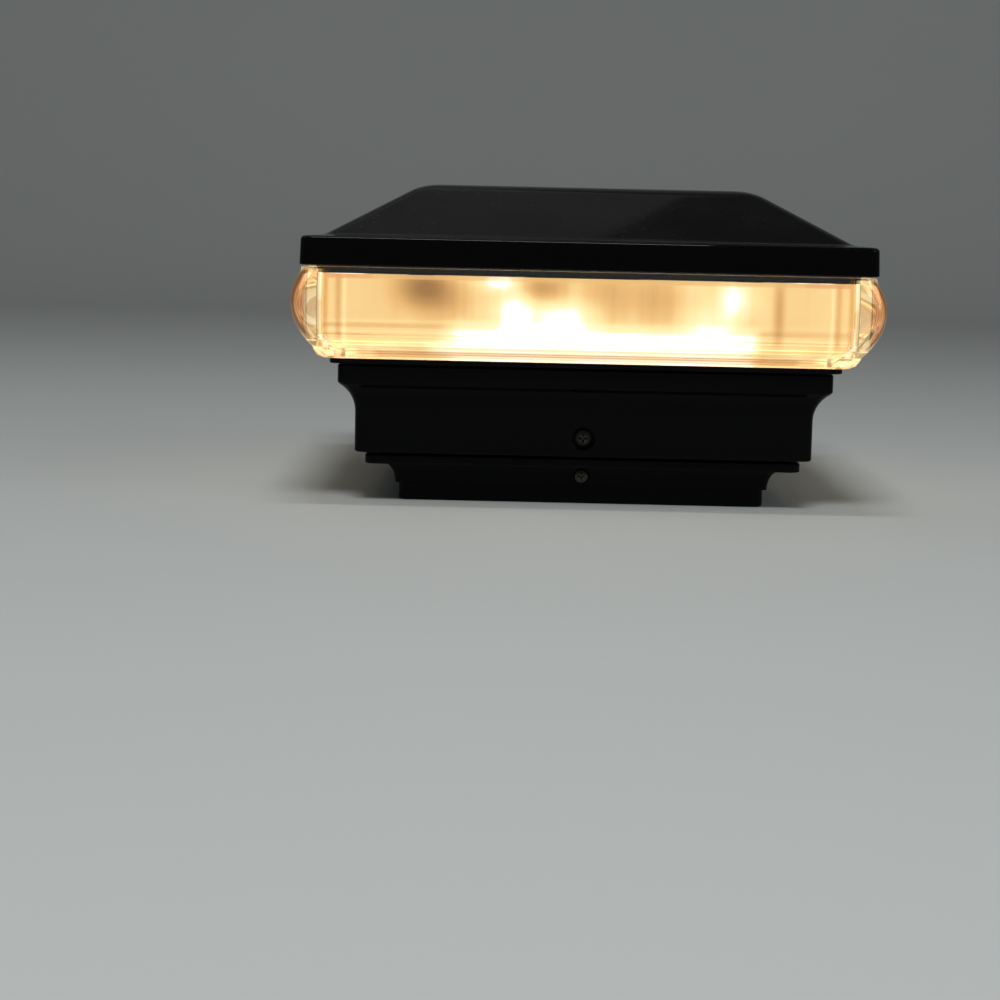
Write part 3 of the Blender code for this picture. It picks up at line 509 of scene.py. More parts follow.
def solar_cells(name="solar_cells"):
    """Dark cells in strips, with bright collector lines and hair-fine fingers."""
    look = settings().finish
    low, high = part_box("solar_cells")
    r = Recipe(name)
    x, y, _ = r.axes()
    side = high.x - low.x
    strip = side / 6
    between = abs((x - low.x).wrapped(strip) - strip / 2).above(strip / 2 - 0.00035)
    bar = (y - low.y).wrapped(side / 3) - side / 6
    bars = 1 - abs(bar).above(0.00045)
    finger = (y - low.y).wrapped(0.0021) - 0.00105
    fingers = 1 - abs(finger).above(0.00009)
    crystal = r.noise(130, 5)
    silicon = r.mix(crystal, look.cell, [c * 2.6 for c in look.cell])
    metal = (bars + fingers * 0.55).clamped() * (1 - between)
    lined = r.mix(metal, silicon, (0.42, 0.43, 0.44))
    return r.surface(
        Base_Color=r.mix(between, lined, (0.010, 0.010, 0.012)),
        Roughness=0.22 + crystal * 0.12 + metal * 0.1,
        Metallic=metal * 0.8,
        Normal=r.bump(metal, 0.00003, 0.4),
    )


def panel_cover(name="panel_cover"):
    """Clear epoxy cover over the cells."""
    r = Recipe(name)
    haze = r.noise(160, 4)
    return r.surface(
        Base_Color=r.mix(haze, (0.97, 0.98, 1.0), (0.93, 0.95, 0.98)),
        Roughness=0.03 + haze * 0.05,
        Normal=r.bump(r.noise(60, 2), 0.00003, 0.4),
        Transmission_Weight=1.0,
        IOR=1.45,
    )


def steel(name, shade, rough=0.26):
    """Plated steel with fine turning marks and a few dull patches."""
    r = Recipe(name)
    patch = r.noise(320, 4)
    marks = r.noise(2600, 2, (1.0, 1.0, 0.12))
    dull = [c * 0.55 for c in shade]
    return r.surface(
        Base_Color=r.mix(patch.eased(0.45, 0.85), shade, dull),
        Roughness=rough + patch * 0.16 + marks * 0.05,
        Metallic=1.0,
        Normal=r.bump(marks, 0.00002, 0.4),
    )


def soft_seal(name="soft_seal"):
    """Soft black rubber with a powdery bloom."""
    r = Recipe(name)
    bloom = r.noise(150, 5)
    return r.surface(
        Base_Color=r.mix(bloom.eased(0.45, 0.9), (0.018, 0.018, 0.019), (0.055, 0.054, 0.052)),
        Roughness=0.68 + bloom * 0.2,
        Normal=r.bump(r.noise(1300, 3), 0.00005, 0.5),
    )


def plain_plastic(name, shade, rough=0.42):
    """Moulded plastic in one shade, with flow clouds and a fine texture."""
    r = Recipe(name)
    cloud = r.noise(60, 4)
    grain = r.noise(1500, 3)
    return r.surface(
        Base_Color=r.mix(cloud.eased(0.25, 0.8), shade, [c * 0.86 for c in shade]),
        Roughness=rough + cloud * 0.08 + grain * 0.06,
        Normal=r.bump(grain, 0.00003, 0.4),
    )


def board_green(name="board_green"):
    """Solder mask with darker copper runs under it."""
    r = Recipe(name)
    x, y, _ = r.axes()
    runs = (1 - (abs(x.wrapped(0.0034) - 0.0017)).eased(0.0003, 0.0005)) * r.noise(90, 1).above(0.5)
    weave = r.noise(1100, 3)
    return r.surface(
        Base_Color=r.mix(runs, (0.012, 0.105, 0.040), (0.030, 0.190, 0.070)),
        Roughness=0.30 + weave * 0.14,
        Normal=r.bump(runs * 0.7 + weave * 0.2, 0.00004, 0.5),
    )


def lamp_epoxy(name="lamp_epoxy"):
    """The clear tip of a lit lamp, brightest towards its end."""
    low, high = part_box("led_front_left")
    r = Recipe(name)
    _, _, z = r.axes()
    tip = 1 - z.eased(low.z, high.z - 0.004)
    light = r.mix(tip, (0.60, 0.42, 0.18), (1.0, 0.88, 0.62))
    return r.surface(
        Base_Color=r.mix(r.noise(400), (0.95, 0.85, 0.55), (0.90, 0.78, 0.45)),
        Roughness=0.12 + r.noise(700) * 0.06,
        Emission_Color=light,
        Emission_Strength=6.0,
    )


def cell_sleeve(name="cell_sleeve"):
    """Shrunk plastic sleeve of a cell, plain green with a bright metal end."""
    low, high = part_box("cell_left")
    r = Recipe(name)
    _, y, _ = r.axes()
    ends = abs(y).above(high.y - 0.0024)
    wrinkle = r.noise(260, 3, (1.0, 0.2, 1.0))
    body = r.mix(wrinkle, (0.045, 0.240, 0.100), (0.060, 0.300, 0.130))
    return r.surface(
        Base_Color=r.mix(ends, body, (0.62, 0.61, 0.58)),
        Roughness=0.28 + wrinkle * 0.12,
        Metallic=ends,
        Normal=r.bump(wrinkle, 0.00005, 0.4),
    )


MADE = {}


def finish(slot):
    """The material of a record slot, made once."""
    if slot not in MADE:
        look = settings().finish
        makers = {
            "gloss_black_plastic": gloss_black,
            "satin_black_plastic": satin_black,
            "clear_acrylic": clear_acrylic,
            "milky_plastic": painted_light_sheet,
            "white_plastic": lambda: plain_plastic("white_plastic", (0.82, 0.80, 0.75), 0.36),
            "black_seal": soft_seal,
            "solar_cell": solar_cells,
            "panel_cover_clear": panel_cover,
            "steel_screw": lambda: steel("steel_screw", tuple(look.steel)),
            "dark_screw": lambda: steel("dark_screw", (0.075, 0.075, 0.080), 0.22),
            "nickel_contact": lambda: steel("nickel_contact", (0.72, 0.69, 0.62), 0.20),
            "circuit_board_green": board_green,
            "chip_black_plastic": lambda: plain_plastic("chip_black", (0.018, 0.018, 0.019), 0.40),
            "ferrite": lambda: plain_plastic("ferrite", (0.050, 0.046, 0.042), 0.62),
            "capacitor_can": lambda: steel("capacitor_can", (0.70, 0.71, 0.72), 0.24),
            "led_epoxy": lamp_epoxy,
            "cell_sleeve": cell_sleeve,
            "red_lead": lambda: plain_plastic("red_lead", (0.50, 0.026, 0.022), 0.38),
            "black_lead": lambda: plain_plastic("black_lead", (0.022, 0.022, 0.023), 0.38),
            "white_knob": lambda: plain_plastic("white_knob", (0.76, 0.75, 0.72), 0.34),
        }
        MADE[slot] = makers[slot]()
    return MADE[slot]


# Shapes


def rounded_outline(corners, closed=True, steps=6):
    """Points of an outline whose (half width, z, radius) corners are rounded by arcs."""
    points = []
    count = len(corners)
    for i, (h, z, radius) in enumerate(corners):
        here = Vector((h, z))
        if radius <= 0 or (not closed and i in (0, count - 1)):
            points.append((h, z))
            continue
        before = Vector(corners[i - 1][:2]) - here
        after = Vector(corners[(i + 1) % count][:2]) - here
        half_angle = before.angle(after) / 2
        reach = min(radius / math.tan(half_angle), before.length * 0.49, after.length * 0.49)
        fitted = reach * math.tan(half_angle)
        middle = here + (before.normalized() + after.normalized()).normalized() * (
            fitted / math.sin(half_angle)
        )
        start = here + before.normalized() * reach - middle
        end = here + after.normalized() * reach - middle
        turned = start.angle_signed(end)
        for k in range(steps + 1):
            spoke = start.copy()
            spoke.rotate(Matrix.Rotation(-turned * k / steps, 2))
            points.append(tuple(middle + spoke))
    return points


def arc(centre, radius, start, end, steps=12):
    """Arc corners for an outline, with angles in degrees and no further rounding."""
    found = []
    for i in range(steps + 1):
        a = math.radians(start + (end - start) * i / steps)
        found.append((centre[0] + radius * math.cos(a), centre[1] + radius * math.sin(a), 0.0))
    return found


def link(name, mesh):
    made = bpy.data.objects.new(name, mesh)
    bpy.context.scene.collection.objects.link(made)
    return made


def square_moulding(name, outline, corner, closed=True):
    """A square moulding. Its outline lies on the diagonal and is spun in four steps, and a
    Bevel rounds only the mitres, so every level keeps the same small corner."""
    bm = bmesh.new()
    verts = [bm.verts.new((h, h, z)) for h, z in outline]
    edges = [bm.edges.new(pair) for pair in zip(verts, verts[1:])]
    if closed:
        edges.append(bm.edges.new((verts[-1], verts[0])))
    bmesh.ops.spin(
        bm, geom=verts + edges, cent=(0, 0, 0), axis=(0, 0, 1), angle=math.tau, steps=4
    )
    bmesh.ops.remove_doubles(bm, verts=bm.verts, dist=0.000001)
    if not closed:
        bmesh.ops.holes_fill(bm, edges=bm.edges, sides=4)
    bmesh.ops.recalc_face_normals(bm, faces=bm.faces)
    weight = bm.edges.layers.float.new("bevel_weight_edge")
    for edge in bm.edges:
        a, b = (v.co for v in edge.verts)
        on_mitre = abs(abs(a.x) - abs(a.y)) < 1e-6 and abs(abs(b.x) - abs(b.y)) < 1e-6
        if on_mitre and a.x * b.x > 0 and a.y * b.y > 0:
            edge[weight] = 1.0
        elif edge.calc_face_angle(0.0) > math.radians(38):
            edge.smooth = False
    for face in bm.faces:
        face.smooth = True
    mesh = bpy.data.meshes.new(name)
    bm.to_mesh(mesh)
    bm.free()
    made = link(name, mesh)
    rounding = made.modifiers.new("mitres", "BEVEL")
    rounding.limit_method = "WEIGHT"
    rounding.width = corner
    rounding.segments = settings().smoothness
    rounding.use_clamp_overlap = False
    return made


def add_box(bm, low, high, edge=0.0, steps=3):
    """Adds a box between two corners to a mesh in the making, its edges rounded."""
    size = Vector(high) - Vector(low)
    middle = (Vector(high) + Vector(low)) / 2
    made = bmesh.ops.create_cube(bm, size=1.0, matrix=Matrix.LocRotScale(middle, None, size))
    if edge:
        edges = {e for v in made["verts"] for e in v.link_edges}
        bmesh.ops.bevel(
            bm, geom=list(edges), offset=edge, segments=steps, profile=0.5, affect="EDGES"
        )


def add_bar(bm, start, end, radius, sides=40):
    """Adds a round bar between two points to a mesh in the making."""
    along = Vector(end) - Vector(start)
    place = Matrix.LocRotScale((Vector(start) + Vector(end)) / 2, along.to_track_quat("Z", "Y"), None)
    bmesh.ops.create_cone(
        bm,
        cap_ends=True,
        segments=sides,
        radius1=radius,
        radius2=radius,
        depth=along.length,
        matrix=place,
    )


def helper(name, bm):
    """A helper solid, which is removed once it has cut or joined."""
    mesh = bpy.data.meshes.new(name)
    bm.to_mesh(mesh)
    bm.free()
    return link(name, mesh)


def settle(piece, place=None):
    """Gives a piece the mesh that its modifiers make, then moves that mesh to its place."""
    bpy.context.view_layer.update()
    seen = piece.evaluated_get(bpy.context.evaluated_depsgraph_get())
    mesh = bpy.data.meshes.new_from_object(seen)
    piece.modifiers.clear()
    piece.data = mesh
    if place is not None:
        mesh.transform(place)
    return piece


def combine(piece, steps):
    """Joins or cuts helper solids in turn, applies the result and removes them."""
    for operation, other in steps:
        change = piece.modifiers.new(other.name, "BOOLEAN")
        change.operation = operation
        change.object = other
        change.solver = "EXACT"
    settle(piece)
    bm = bmesh.new()
    bm.from_mesh(piece.data)
    bmesh.ops.remove_doubles(bm, verts=bm.verts, dist=0.0000005)
    bm.to_mesh(piece.data)
    bm.free()
    for _, other in steps:
        bpy.data.objects.remove(other)
    return piece


def crisp(piece, angle=38):
    """Smooth shading with sharp edges past an angle, and flat faces kept truly flat."""
    for face in piece.data.polygons:
        face.use_smooth = True
    piece.data.set_sharp_from_angle(angle=math.radians(angle))
    return flat_faces_kept(piece)


def flat_faces_kept(piece):
    weighting = piece.modifiers.new("flat faces", "WEIGHTED_NORMAL")
    weighting.keep_sharp = True
    weighting.weight = 60
    return piece


def turned(name, outline, sides=48):
    """A turned piece, from (radius, z) points that run down its outer side."""
    mesh = bpy.data.meshes.new(name)
    pairs = [(i, i + 1) for i in range(len(outline) - 1)]
    mesh.from_pydata([(r, 0, z) for r, z in outline], [], [])
    mesh.clear_geometry()
    mesh.from_pydata([(r, 0, z) for r, z in outline], pairs, [])
    made = link(name, mesh)
    turning = made.modifiers.new("turn", "SCREW")
    turning.angle = math.tau
    turning.steps = sides
    turning.render_steps = sides
    turning.use_merge_vertices = True
    turning.merge_threshold = 0.000002
    return made


def fit(piece, *nodes, look=None):
    """Puts a piece in the frame: it rides with, stands for and takes the slot of its nodes."""
    body = next(b for b, held in frame["record"]["behaviour"]["bodies"].items() if nodes[0] in held)
    slot = SLOT_OF[nodes[0]]
    piece.data.materials.clear()
    piece.data.materials.append(look or finish(slot))
    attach(piece, body)
    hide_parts(*nodes)
    return piece


def side_matrix(i):
    """The turn from the front to side i, counter-clockwise from above."""
    return Matrix.Rotation(math.radians(90 * i), 4, "Z")


def outward(i, distance, height):
    """The place on side i of a piece made upright, its top outward, at a distance and height."""
    shift = Matrix.Translation((0, -distance, height))
    return side_matrix(i) @ shift @ Matrix.Rotation(math.radians(90), 4, "X")


def socket_cutter(name, shape, place):
    """A turned cutter from (radius, depth) points, laid in from one side."""
    cutter = turned(name, shape, 40)
    return settle(cutter, place)


def cross_cutter(name, reach, width, depth):
    """A tapered cross that leaves the driving recess of a screw, its top at z = 0."""
    made = []
    for i, (x, y) in enumerate(((reach, width), (width, reach))):
        bm = bmesh.new()
        top = 0.0004
        add_box(bm, (-x, -y, -depth - i * 0.00003), (x, y, top))
        for v in bm.verts:
            if v.co.z < 0:
                v.co.x *= 0.45 if x > y else 0.8
                v.co.y *= 0.8 if x > y else 0.45
        made.append(helper(f"{name}_{i}", bm))
    return made


def pan_screw(name, radius, height, shank, length_below, slot_share=0.56):
    """A pan-head cross-recess screw that points down, the top of its head at z = 0."""
    outline = rounded_outline(
        [
            (0, 0, 0),
            (radius * 0.45, -height * 0.03, radius * 0.5),
            (radius, -height * 0.34, height * 0.42),
            (radius, -height, height * 0.06),
            (shank, -height, 0),
        ],
        closed=False,
        steps=6,
    )
    pitch = shank * 0.62
    threads = int((length_below - shank * 1.6) / pitch)
    z = -height - shank * 0.4
    for _ in range(threads):
        outline += [(shank * 0.80, z), (shank, z - pitch * 0.42), (shank, z - pitch * 0.58)]
        z -= pitch
    end = -height - length_below
    outline += [(shank * 0.80, z), (shank * 0.3, end), (0, end)]
    made = settle(turned(name, outline, 56))
    cutters = cross_cutter(f"{name}_drive", radius * slot_share, radius * 0.12, height * 0.62)
    combine(made, [("DIFFERENCE", cutter) for cutter in cutters])
    return made


def copies(pattern, places):
    """Copies of a settled pattern, one for each named place; the pattern is removed."""
    made = []
    for name, place in places.items():
        mesh = pattern.data.copy()
        mesh.transform(place)
        made.append(crisp(link(name, mesh), 30))
    bpy.data.objects.remove(pattern)
    return made


# Roof


def roof_levels():
    """Heights of the roof's main lines, worked down from its top."""
    s = settings().roof
    low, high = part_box("roof_cap")
    half, top = high.x, high.z
    slope = s.slope
    crown_start = (
        s.crown_half + s.crown * math.sin(slope),
        top - s.crown * (1 - math.cos(slope)),
    )
    flare_half = half - 0.0054
    flare_end_half = flare_half - s.flare * math.sin(slope)
    flare_end_z = crown_start[1] - (flare_end_half - crown_start[0]) * math.tan(slope)
    flare_z = flare_end_z - s.flare * (1 - math.cos(slope))
    return half, top, slope, flare_half, flare_z, (flare_end_half, flare_end_z)


def make_roof():
    s = settings().roof
    half, top, slope, flare_half, flare_z, flare_end = roof_levels()
    degrees = math.degrees(slope)
    rim_top = flare_z - 0.0004
    rim_bottom = rim_top - 0.0090
    seat = rim_bottom + 0.0041
    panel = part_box("panel_cover")[1].x + 0.0003
    floor = top - s.recess
    underside = floor - 0.0020
    wall = 0.0024 / math.cos(slope)
    under_half = flare_end[0] - (underside - flare_end[1] + wall) / math.tan(slope)
    inner_half = half - 0.0090
    inner_z = flare_end[1] + (flare_end[0] - inner_half) * math.tan(slope) - wall
    corners = [
        (under_half, underside, 0),
        (inner_half, inner_z, 0.0006),
        (inner_half + 0.0010, seat + 0.0020, 0.0004),
        (inner_half + 0.0010, seat, 0),
        (half - 0.0023, seat, 0),
        (half - 0.0023, rim_bottom, 0.0002),
        (half, rim_bottom, 0.0004),
        (half - 0.0003, rim_top, s.rim_edge),
        (flare_half, flare_z, 0),
        *arc((flare_half, flare_z + s.flare), s.flare, -90, -90 - degrees)[1:],
        *arc((s.crown_half, top - s.crown), s.crown, 90 - degrees, 90),
        (panel, top, 0.0004),
        (panel, floor, 0),
    ]
    outline = rounded_outline(corners, closed=False, steps=settings().smoothness)
    roof = square_moulding("roof", outline, s.corner, closed=False)
    flat_faces_kept(roof)
    fit(roof, "roof_cap")
    fit(make_roof_posts(underside + 0.0006), "roof_cap")


def make_roof_posts(top):
    """The screw posts under the roof: four long at the corners, four short at mid-side."""
    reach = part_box("tray_screw_front_right")[1].x - 0.0031
    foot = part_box("roof_cap")[0].z
    short_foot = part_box("ceiling_plate")[1].z + 0.0003
    bm = bmesh.new()
    for low, radius, spots in (
        (foot, 0.00425, [(reach * x, reach * y) for x, y in CORNERS.values()]),
        (short_foot, 0.0035, [(0, -reach), (reach, 0), (0, reach), (-reach, 0)]),
    ):
        outline = [(radius + 0.0004, top), (radius, top - 0.012), (radius, low + 0.0003)]
        outline += [(radius - 0.0003, low), (0.0018, low), (0.0018, low + 0.0080), (0, low + 0.0080)]
        outline = [(0, top), *outline]
        post = settle(turned("post", outline, 40))
        for x, y in spots:
            mesh = post.data.copy()
            mesh.transform(Matrix.Translation((x, y, 0)))
            bm.from_mesh(mesh)
            bpy.data.meshes.remove(mesh)
        bpy.data.objects.remove(post)
    posts = helper("roof_posts", bm)
    return crisp(posts)


def make_panel():
    low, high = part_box("panel_cover")
    half = high.x
    corners = [(half, low.z, 0), (half, high.z - 0.0003, 0.00012), (half - 0.0003, high.z, 0.00012)]
    outline = rounded_outline(corners, closed=False, steps=3)
    cover = square_moulding("solar_panel_cover", outline, 0.0020, closed=False)
    fit(flat_faces_kept(cover), "panel_cover")
    low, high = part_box("panel_seal")
    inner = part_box("solar_cells")[1].x + 0.0004
    edge = 0.0004
    corners = [
        (high.x, low.z, edge),
        (high.x, high.z, edge),
        (inner, high.z, edge),
        (inner, low.z, edge),
    ]
    seal = square_moulding("solar_panel_seal", rounded_outline(corners), 0.0020)
    fit(flat_faces_kept(seal), "panel_seal")


# Lens and the parts behind it


def make_lens():
    s = settings().lens
    low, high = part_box("lens_ring")
    half, foot, top = high.x, low.z, high.z
    neck_top = top - 0.0026
    middle = foot + 0.0176
    tilt = 33.5
    inner = half - 0.0076
    edge = s.step
    corners = [
        (half - 0.0114, foot, 0.0002),
        (half - 0.0094, foot, edge),
        (half - 0.0078, foot + 0.0008, edge),
        (half - 0.0066, foot + 0.0027, edge),
        (half - 0.0064, foot + 0.0035, edge),
        (half - 0.0046, foot + 0.0054, edge * 0.6),
        (half - 0.0045, foot + 0.0058, edge * 0.5),
        (half - 0.0038, foot + 0.0065, edge * 0.6),
        *arc((half - s.bulge, middle), s.bulge, -tilt, tilt, 20),
        (half - 0.0030, neck_top, 0.0003),
        (half - 0.0051, neck_top, 0.0002),
        (half - 0.0051, top, 0.0003),
        (inner, top, 0.0003),
        (inner, foot + 0.0083, 0.0008),
        (half - 0.0096, foot + 0.0053, 0.0006),
        (half - 0.0148, foot + 0.0037, 0.0004),
        (half - 0.0148, foot + 0.0014, 0.0001),
        (half - 0.0114, foot + 0.0014, 0),
    ]
    lens = square_moulding("lens", rounded_outline(corners, steps=5), s.corner)
    fit(flat_faces_kept(lens), "lens_ring")


def ring_outline(node, wall, edge):
    """A plain ring's outline, from the outer size of its node's box."""
    low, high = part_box(node)
    outer, inner = high.x, high.x - wall
    return rounded_outline(
        [(outer, low.z, edge), (outer, high.z, edge), (inner, high.z, edge), (inner, low.z, edge)],
        steps=4,
    )


def make_lens_rings():
    for name, node, wall, edge in (
        ("lens_retainer_band", "lens_retainer", 0.0024, 0.0003),
        ("upper_lens_seal", "lens_gasket_top", 0.0024, 0.0004),
        ("lower_lens_seal", "lens_gasket_bottom", 0.0028, 0.0004),
    ):
        ring = square_moulding(name, ring_outline(node, wall, edge), 0.0024)
        fit(flat_faces_kept(ring), node)


def make_sheet():
    low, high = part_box("diffuser_sleeve")
    half, foot, top = high.x, low.z, high.z
    wall = 0.0008
    corners = [
        (half - 0.0071, foot, 0.0001),
        (half - 0.0071, foot + 0.0024, 0.0006),
        (half - 0.0019, foot + 0.0041, 0.0010),
        (half, foot + 0.0068, 0.0016),
        (half, top, 0.0003),
        (half - wall, top, 0.0003),
        (half - wall, foot + 0.0070, 0.0012),
        (half - 0.0023, foot + 0.0049, 0.0008),
        (half - 0.0080, foot + 0.0032, 0.0004),
        (half - 0.0080, foot, 0.0001),
    ]
    sheet = square_moulding("milky_sheet", rounded_outline(corners, steps=5), 0.0034)
    fit(flat_faces_kept(sheet), "diffuser_sleeve")


# Base


def make_skirt():
    s = settings().base
    low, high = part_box("base_skirt")
    half, foot, top = high.x, low.z, high.z
    band = half - 0.0053
    cove_z = foot + 0.0129
    cove = arc((band + 0.0106, cove_z), 0.0106, 180, 124)
    inner = band - 0.0024
    wide = half - 0.0024
    shelf = half - 0.0160
    edge = s.edge
    corners = [
        (band, foot, edge),
        *cove,
        (half - 0.0004, cove_z + 0.0090, 0.0002),
        (half, cove_z + 0.0096, 0.0003),
        (half, top, edge),
        (wide, top, 0.0003),
        (wide, top - 0.0050, 0.0003),
        (inner, top - 0.0108, 0.0006),
        (inner, cove_z, 0.0002),
        (shelf, cove_z, 0.0002),
        (shelf, cove_z - 0.0020, 0.0002),
        (inner, cove_z - 0.0020, 0.0002),
        (inner, foot, 0.0002),
    ]
    skirt = settle(square_moulding("skirt", rounded_outline(corners, steps=5), s.corner))
    height = screw_height("adapter_screw_front")
    floor = half - 0.0094
    steps = []
    for i in range(4):
        boss = [(0, 0.0715), (0.0055, 0.0715), (0.0055, 0.0663), (0, 0.0663)]
        steps.append(("UNION", socket_cutter(f"boss_{i}", boss, outward(i, 0, height))))
    mouth = 0.0005
    for i in range(4):
        shape = [(0, band + 0.0012), (s.recess + mouth + 0.0012, band + 0.0012)]
        for k in range(1, 6):
            a = math.radians(18 * k)
            shape.append((s.recess + mouth - mouth * math.sin(a), band - mouth * (1 - math.cos(a))))
        shape += [(s.recess, floor), (0.0018, floor), (0.0018, floor - 0.004), (0, floor - 0.004)]
        steps.append(("DIFFERENCE", socket_cutter(f"recess_{i}", shape, outward(i, 0, height))))
    fit(crisp(combine(skirt, steps), 38), "base_skirt", look=gloss_black("base_black", 0.07, 0.10))


def screw_height(node):
    low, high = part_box(node)
    return (low.z + high.z) / 2


def make_adapter():
    s = settings().base
    low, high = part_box("post_adapter")
    half, top = high.x, high.z
    foot = low.z
    band = half - 0.0105
    cove_out, cove_up = 0.0047, 0.0064
    cove = []
    for k in range(13):
        a = math.radians(90 * k / 12)
        cove.append((half - 0.0045 - cove_out * math.cos(a), foot + 0.0061 + cove_up * math.sin(a), 0))
    socket = half - 0.0183
    inner = half - 0.0129
    collar = half - 0.0039
    stop = half - 0.0235
    edge = s.edge
    corners = [
        (band, foot, edge),
        (band, foot + 0.0055, 0.0004),
        (half - 0.0092, foot + 0.0057, 0.0002),
        *cove,
        (half, foot + 0.0125, 0.0005),
        (half, foot + 0.0155, 0.0005),
        (collar, foot + 0.0155, 0.0003),
        (collar, top, 0.0005),
        (collar - 0.0024, top, 0.0004),
        (collar - 0.0024, foot + 0.0155, 0.0004),
        (stop, foot + 0.0155, 0.0004),
        (stop, foot + 0.0135, 0.0004),
        (inner, foot + 0.0135, 0.0004),
        (inner, foot, 0.0004),
    ]
    adapter = settle(square_moulding("adapter", rounded_outline(corners, steps=5), s.corner))
    steps = []
    for i in range(4):
        bm = bmesh.new()
        for x, width, rise in ((-0.0300, 0.0024, 0.0010), (0.0300, 0.0024, 0.0010), (0, 0.0090, 0.0020)):
            start = (x - width / 2, -inner - 0.0005, foot + rise)
            add_box(bm, start, (x + width / 2, -socket, foot + 0.0140), 0.00025)
        ribs = helper(f"ribs_{i}", bm)
        ribs.data.transform(side_matrix(i))
        steps.append(("UNION", ribs))
    post_screw, long_screw = screw_height("post_screw_front"), screw_height("adapter_screw_front")
    for i in range(4):
        seat = [(0, 0.0678), (0.0031, 0.0678), (0.0027, 0.0618), (0.0026, 0.0594), (0.0016, 0.0594)]
        seat += [(0.0016, 0.0500), (0, 0.0500)]
        steps.append(("DIFFERENCE", socket_cutter(f"seat_{i}", seat, outward(i, 0, post_screw))))
        hole = [(0, 0.0680), (0.0018, 0.0680), (0.0018, 0.0600), (0, 0.0600)]
        steps.append(("DIFFERENCE", socket_cutter(f"hole_{i}", hole, outward(i, 0, long_screw))))
    fit(crisp(combine(adapter, steps), 38), "post_adapter")


def make_base_screws():
    for kind, radius, height, shank, below in (
        ("adapter_screw", 0.0030, 0.0017, 0.0015, 0.0065),
        ("post_screw", 0.0023, 0.0013, 0.0012, 0.0082),
    ):
        pattern = pan_screw(kind, radius, height, shank, below)
        low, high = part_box(f"{kind}_front")
        places = {
            f"{kind}_fitted_{side}": outward(i, -low.y, (low.z + high.z) / 2) for i, side in enumerate(SIDES)
        }
        look = steel(f"{kind}_zinc", (0.075, 0.070, 0.062), 0.38)
        for side, made in zip(SIDES, copies(pattern, places)):
            fit(made, f"{kind}_{side}", look=look)


# Tray, its screws, door and switch


def make_tray():
    low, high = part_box("head_tray")
    half = high.x - 0.0012
    box_low, box_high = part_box("door_seal")
    under = box_low.z
    rim_top = under + 0.0015
    floor_top = under + 0.0020
    spigot = high.x - 0.0066
    foot = under - 0.0047
    corners = [
        (spigot - 0.0020, under, 0),
        (spigot - 0.0020, foot, 0.0005),
        (spigot, foot, 0.0006),
        (spigot, under, 0),
        (half, under, 0.0004),
        (half, rim_top, 0.0003),
        (half - 0.0051, rim_top, 0.0002),
        (half - 0.0056, floor_top, 0),
    ]
    tray = settle(square_moulding("tray", rounded_outline(corners, closed=False), 0.0025, closed=False))
    bx, by, box_top = 0.0185, 0.0310, high.z
    cx, cy = 0.0155, 0.0285
    hinge = hinge_axis()
    solids, holes = [], []
    bm = bmesh.new()
    add_box(bm, (-bx, -by, under + 0.0005), (bx, by, box_top), 0.0009, 4)
    solids.append(helper("battery_box", bm))
    for name, spans in (("tray_knuckles", ((-0.0097, 0.0097), (0.0203, 0.0300), (-0.0300, -0.0203))),):
        bars, arms = bmesh.new(), bmesh.new()
        for start, end in spans:
            add_bar(bars, (hinge.x, start, hinge.z), (hinge.x, end, hinge.z), 0.0021)
            add_box(arms, (hinge.x - 0.0019, start, hinge.z), (hinge.x + 0.0019, end, under + 0.0004))
        solids += [helper(name, bars), helper(f"{name}_arms", arms)]
    bm = bmesh.new()
    add_box(bm, (-cx, -cy, foot), (cx, cy, box_top - 0.0018), 0.0008, 4)
    holes.append(helper("cell_cavity", bm))
    bm = bmesh.new()
    add_box(bm, (-bx + 0.0005, -by + 0.0003, under - 0.0007), (bx - 0.0005, by - 0.0003, under + 0.0010))
    holes.append(helper("seal_recess", bm))
    bm = bmesh.new()
    add_bar(bm, (hinge.x, -0.0320, hinge.z), (hinge.x, 0.0320, hinge.z), 0.00115)
    holes.append(helper("pin_bore", bm))
    bm = bmesh.new()
    for x, y in screw_spots():
        add_bar(bm, (x, y, under - 0.001), (x, y, floor_top + 0.001), 0.0018)
    for y in (-0.0265, 0.0265):
        add_bar(bm, (0, y, box_top - 0.003), (0, y, box_top + 0.001), 0.0016)
    holes.append(helper("screw_holes", bm))
    steps = [("UNION", s) for s in solids] + [("DIFFERENCE", h) for h in holes]
    fit(crisp(combine(tray, steps), 38), "head_tray")


def hinge_axis():
    joint = next(j for j in frame["record"]["behaviour"]["joints"] if j["type"] == "hinge")
    return Vector(joint["pos_m"])


def screw_spots():
    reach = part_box("tray_screw_front_right")[1].x - 0.0031
    return [(reach * x, reach * y) for x, y in CORNERS.values()]


def make_head_screws():
    pattern = pan_screw("tray_screw", 0.0031, 0.0018, 0.0015, 0.0145)
    flip = Matrix.Rotation(math.pi, 4, "X")
    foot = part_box("tray_screw_front_left")[0].z
    places = {
        f"tray_screw_fitted_{corner}": Matrix.Translation((x, y, foot)) @ flip
        for corner, (x, y) in zip(CORNERS, screw_spots())
    }
    for corner, made in zip(CORNERS, copies(pattern, places)):
        fit(made, f"tray_screw_{corner}")
    pattern = pan_screw("ceiling_screw", 0.0030, 0.0018, 0.0015, 0.0085)
    reach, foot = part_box("tray_screw_front_right")[1].x - 0.0031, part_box("ceiling_screw_front")[0].z
    places = {
        f"ceiling_screw_fitted_{side}": side_matrix(i) @ Matrix.Translation((0, -reach, foot)) @ flip
        for i, side in enumerate(SIDES)
    }
    for side, made in zip(SIDES, copies(pattern, places)):
        fit(made, f"ceiling_screw_{side}")


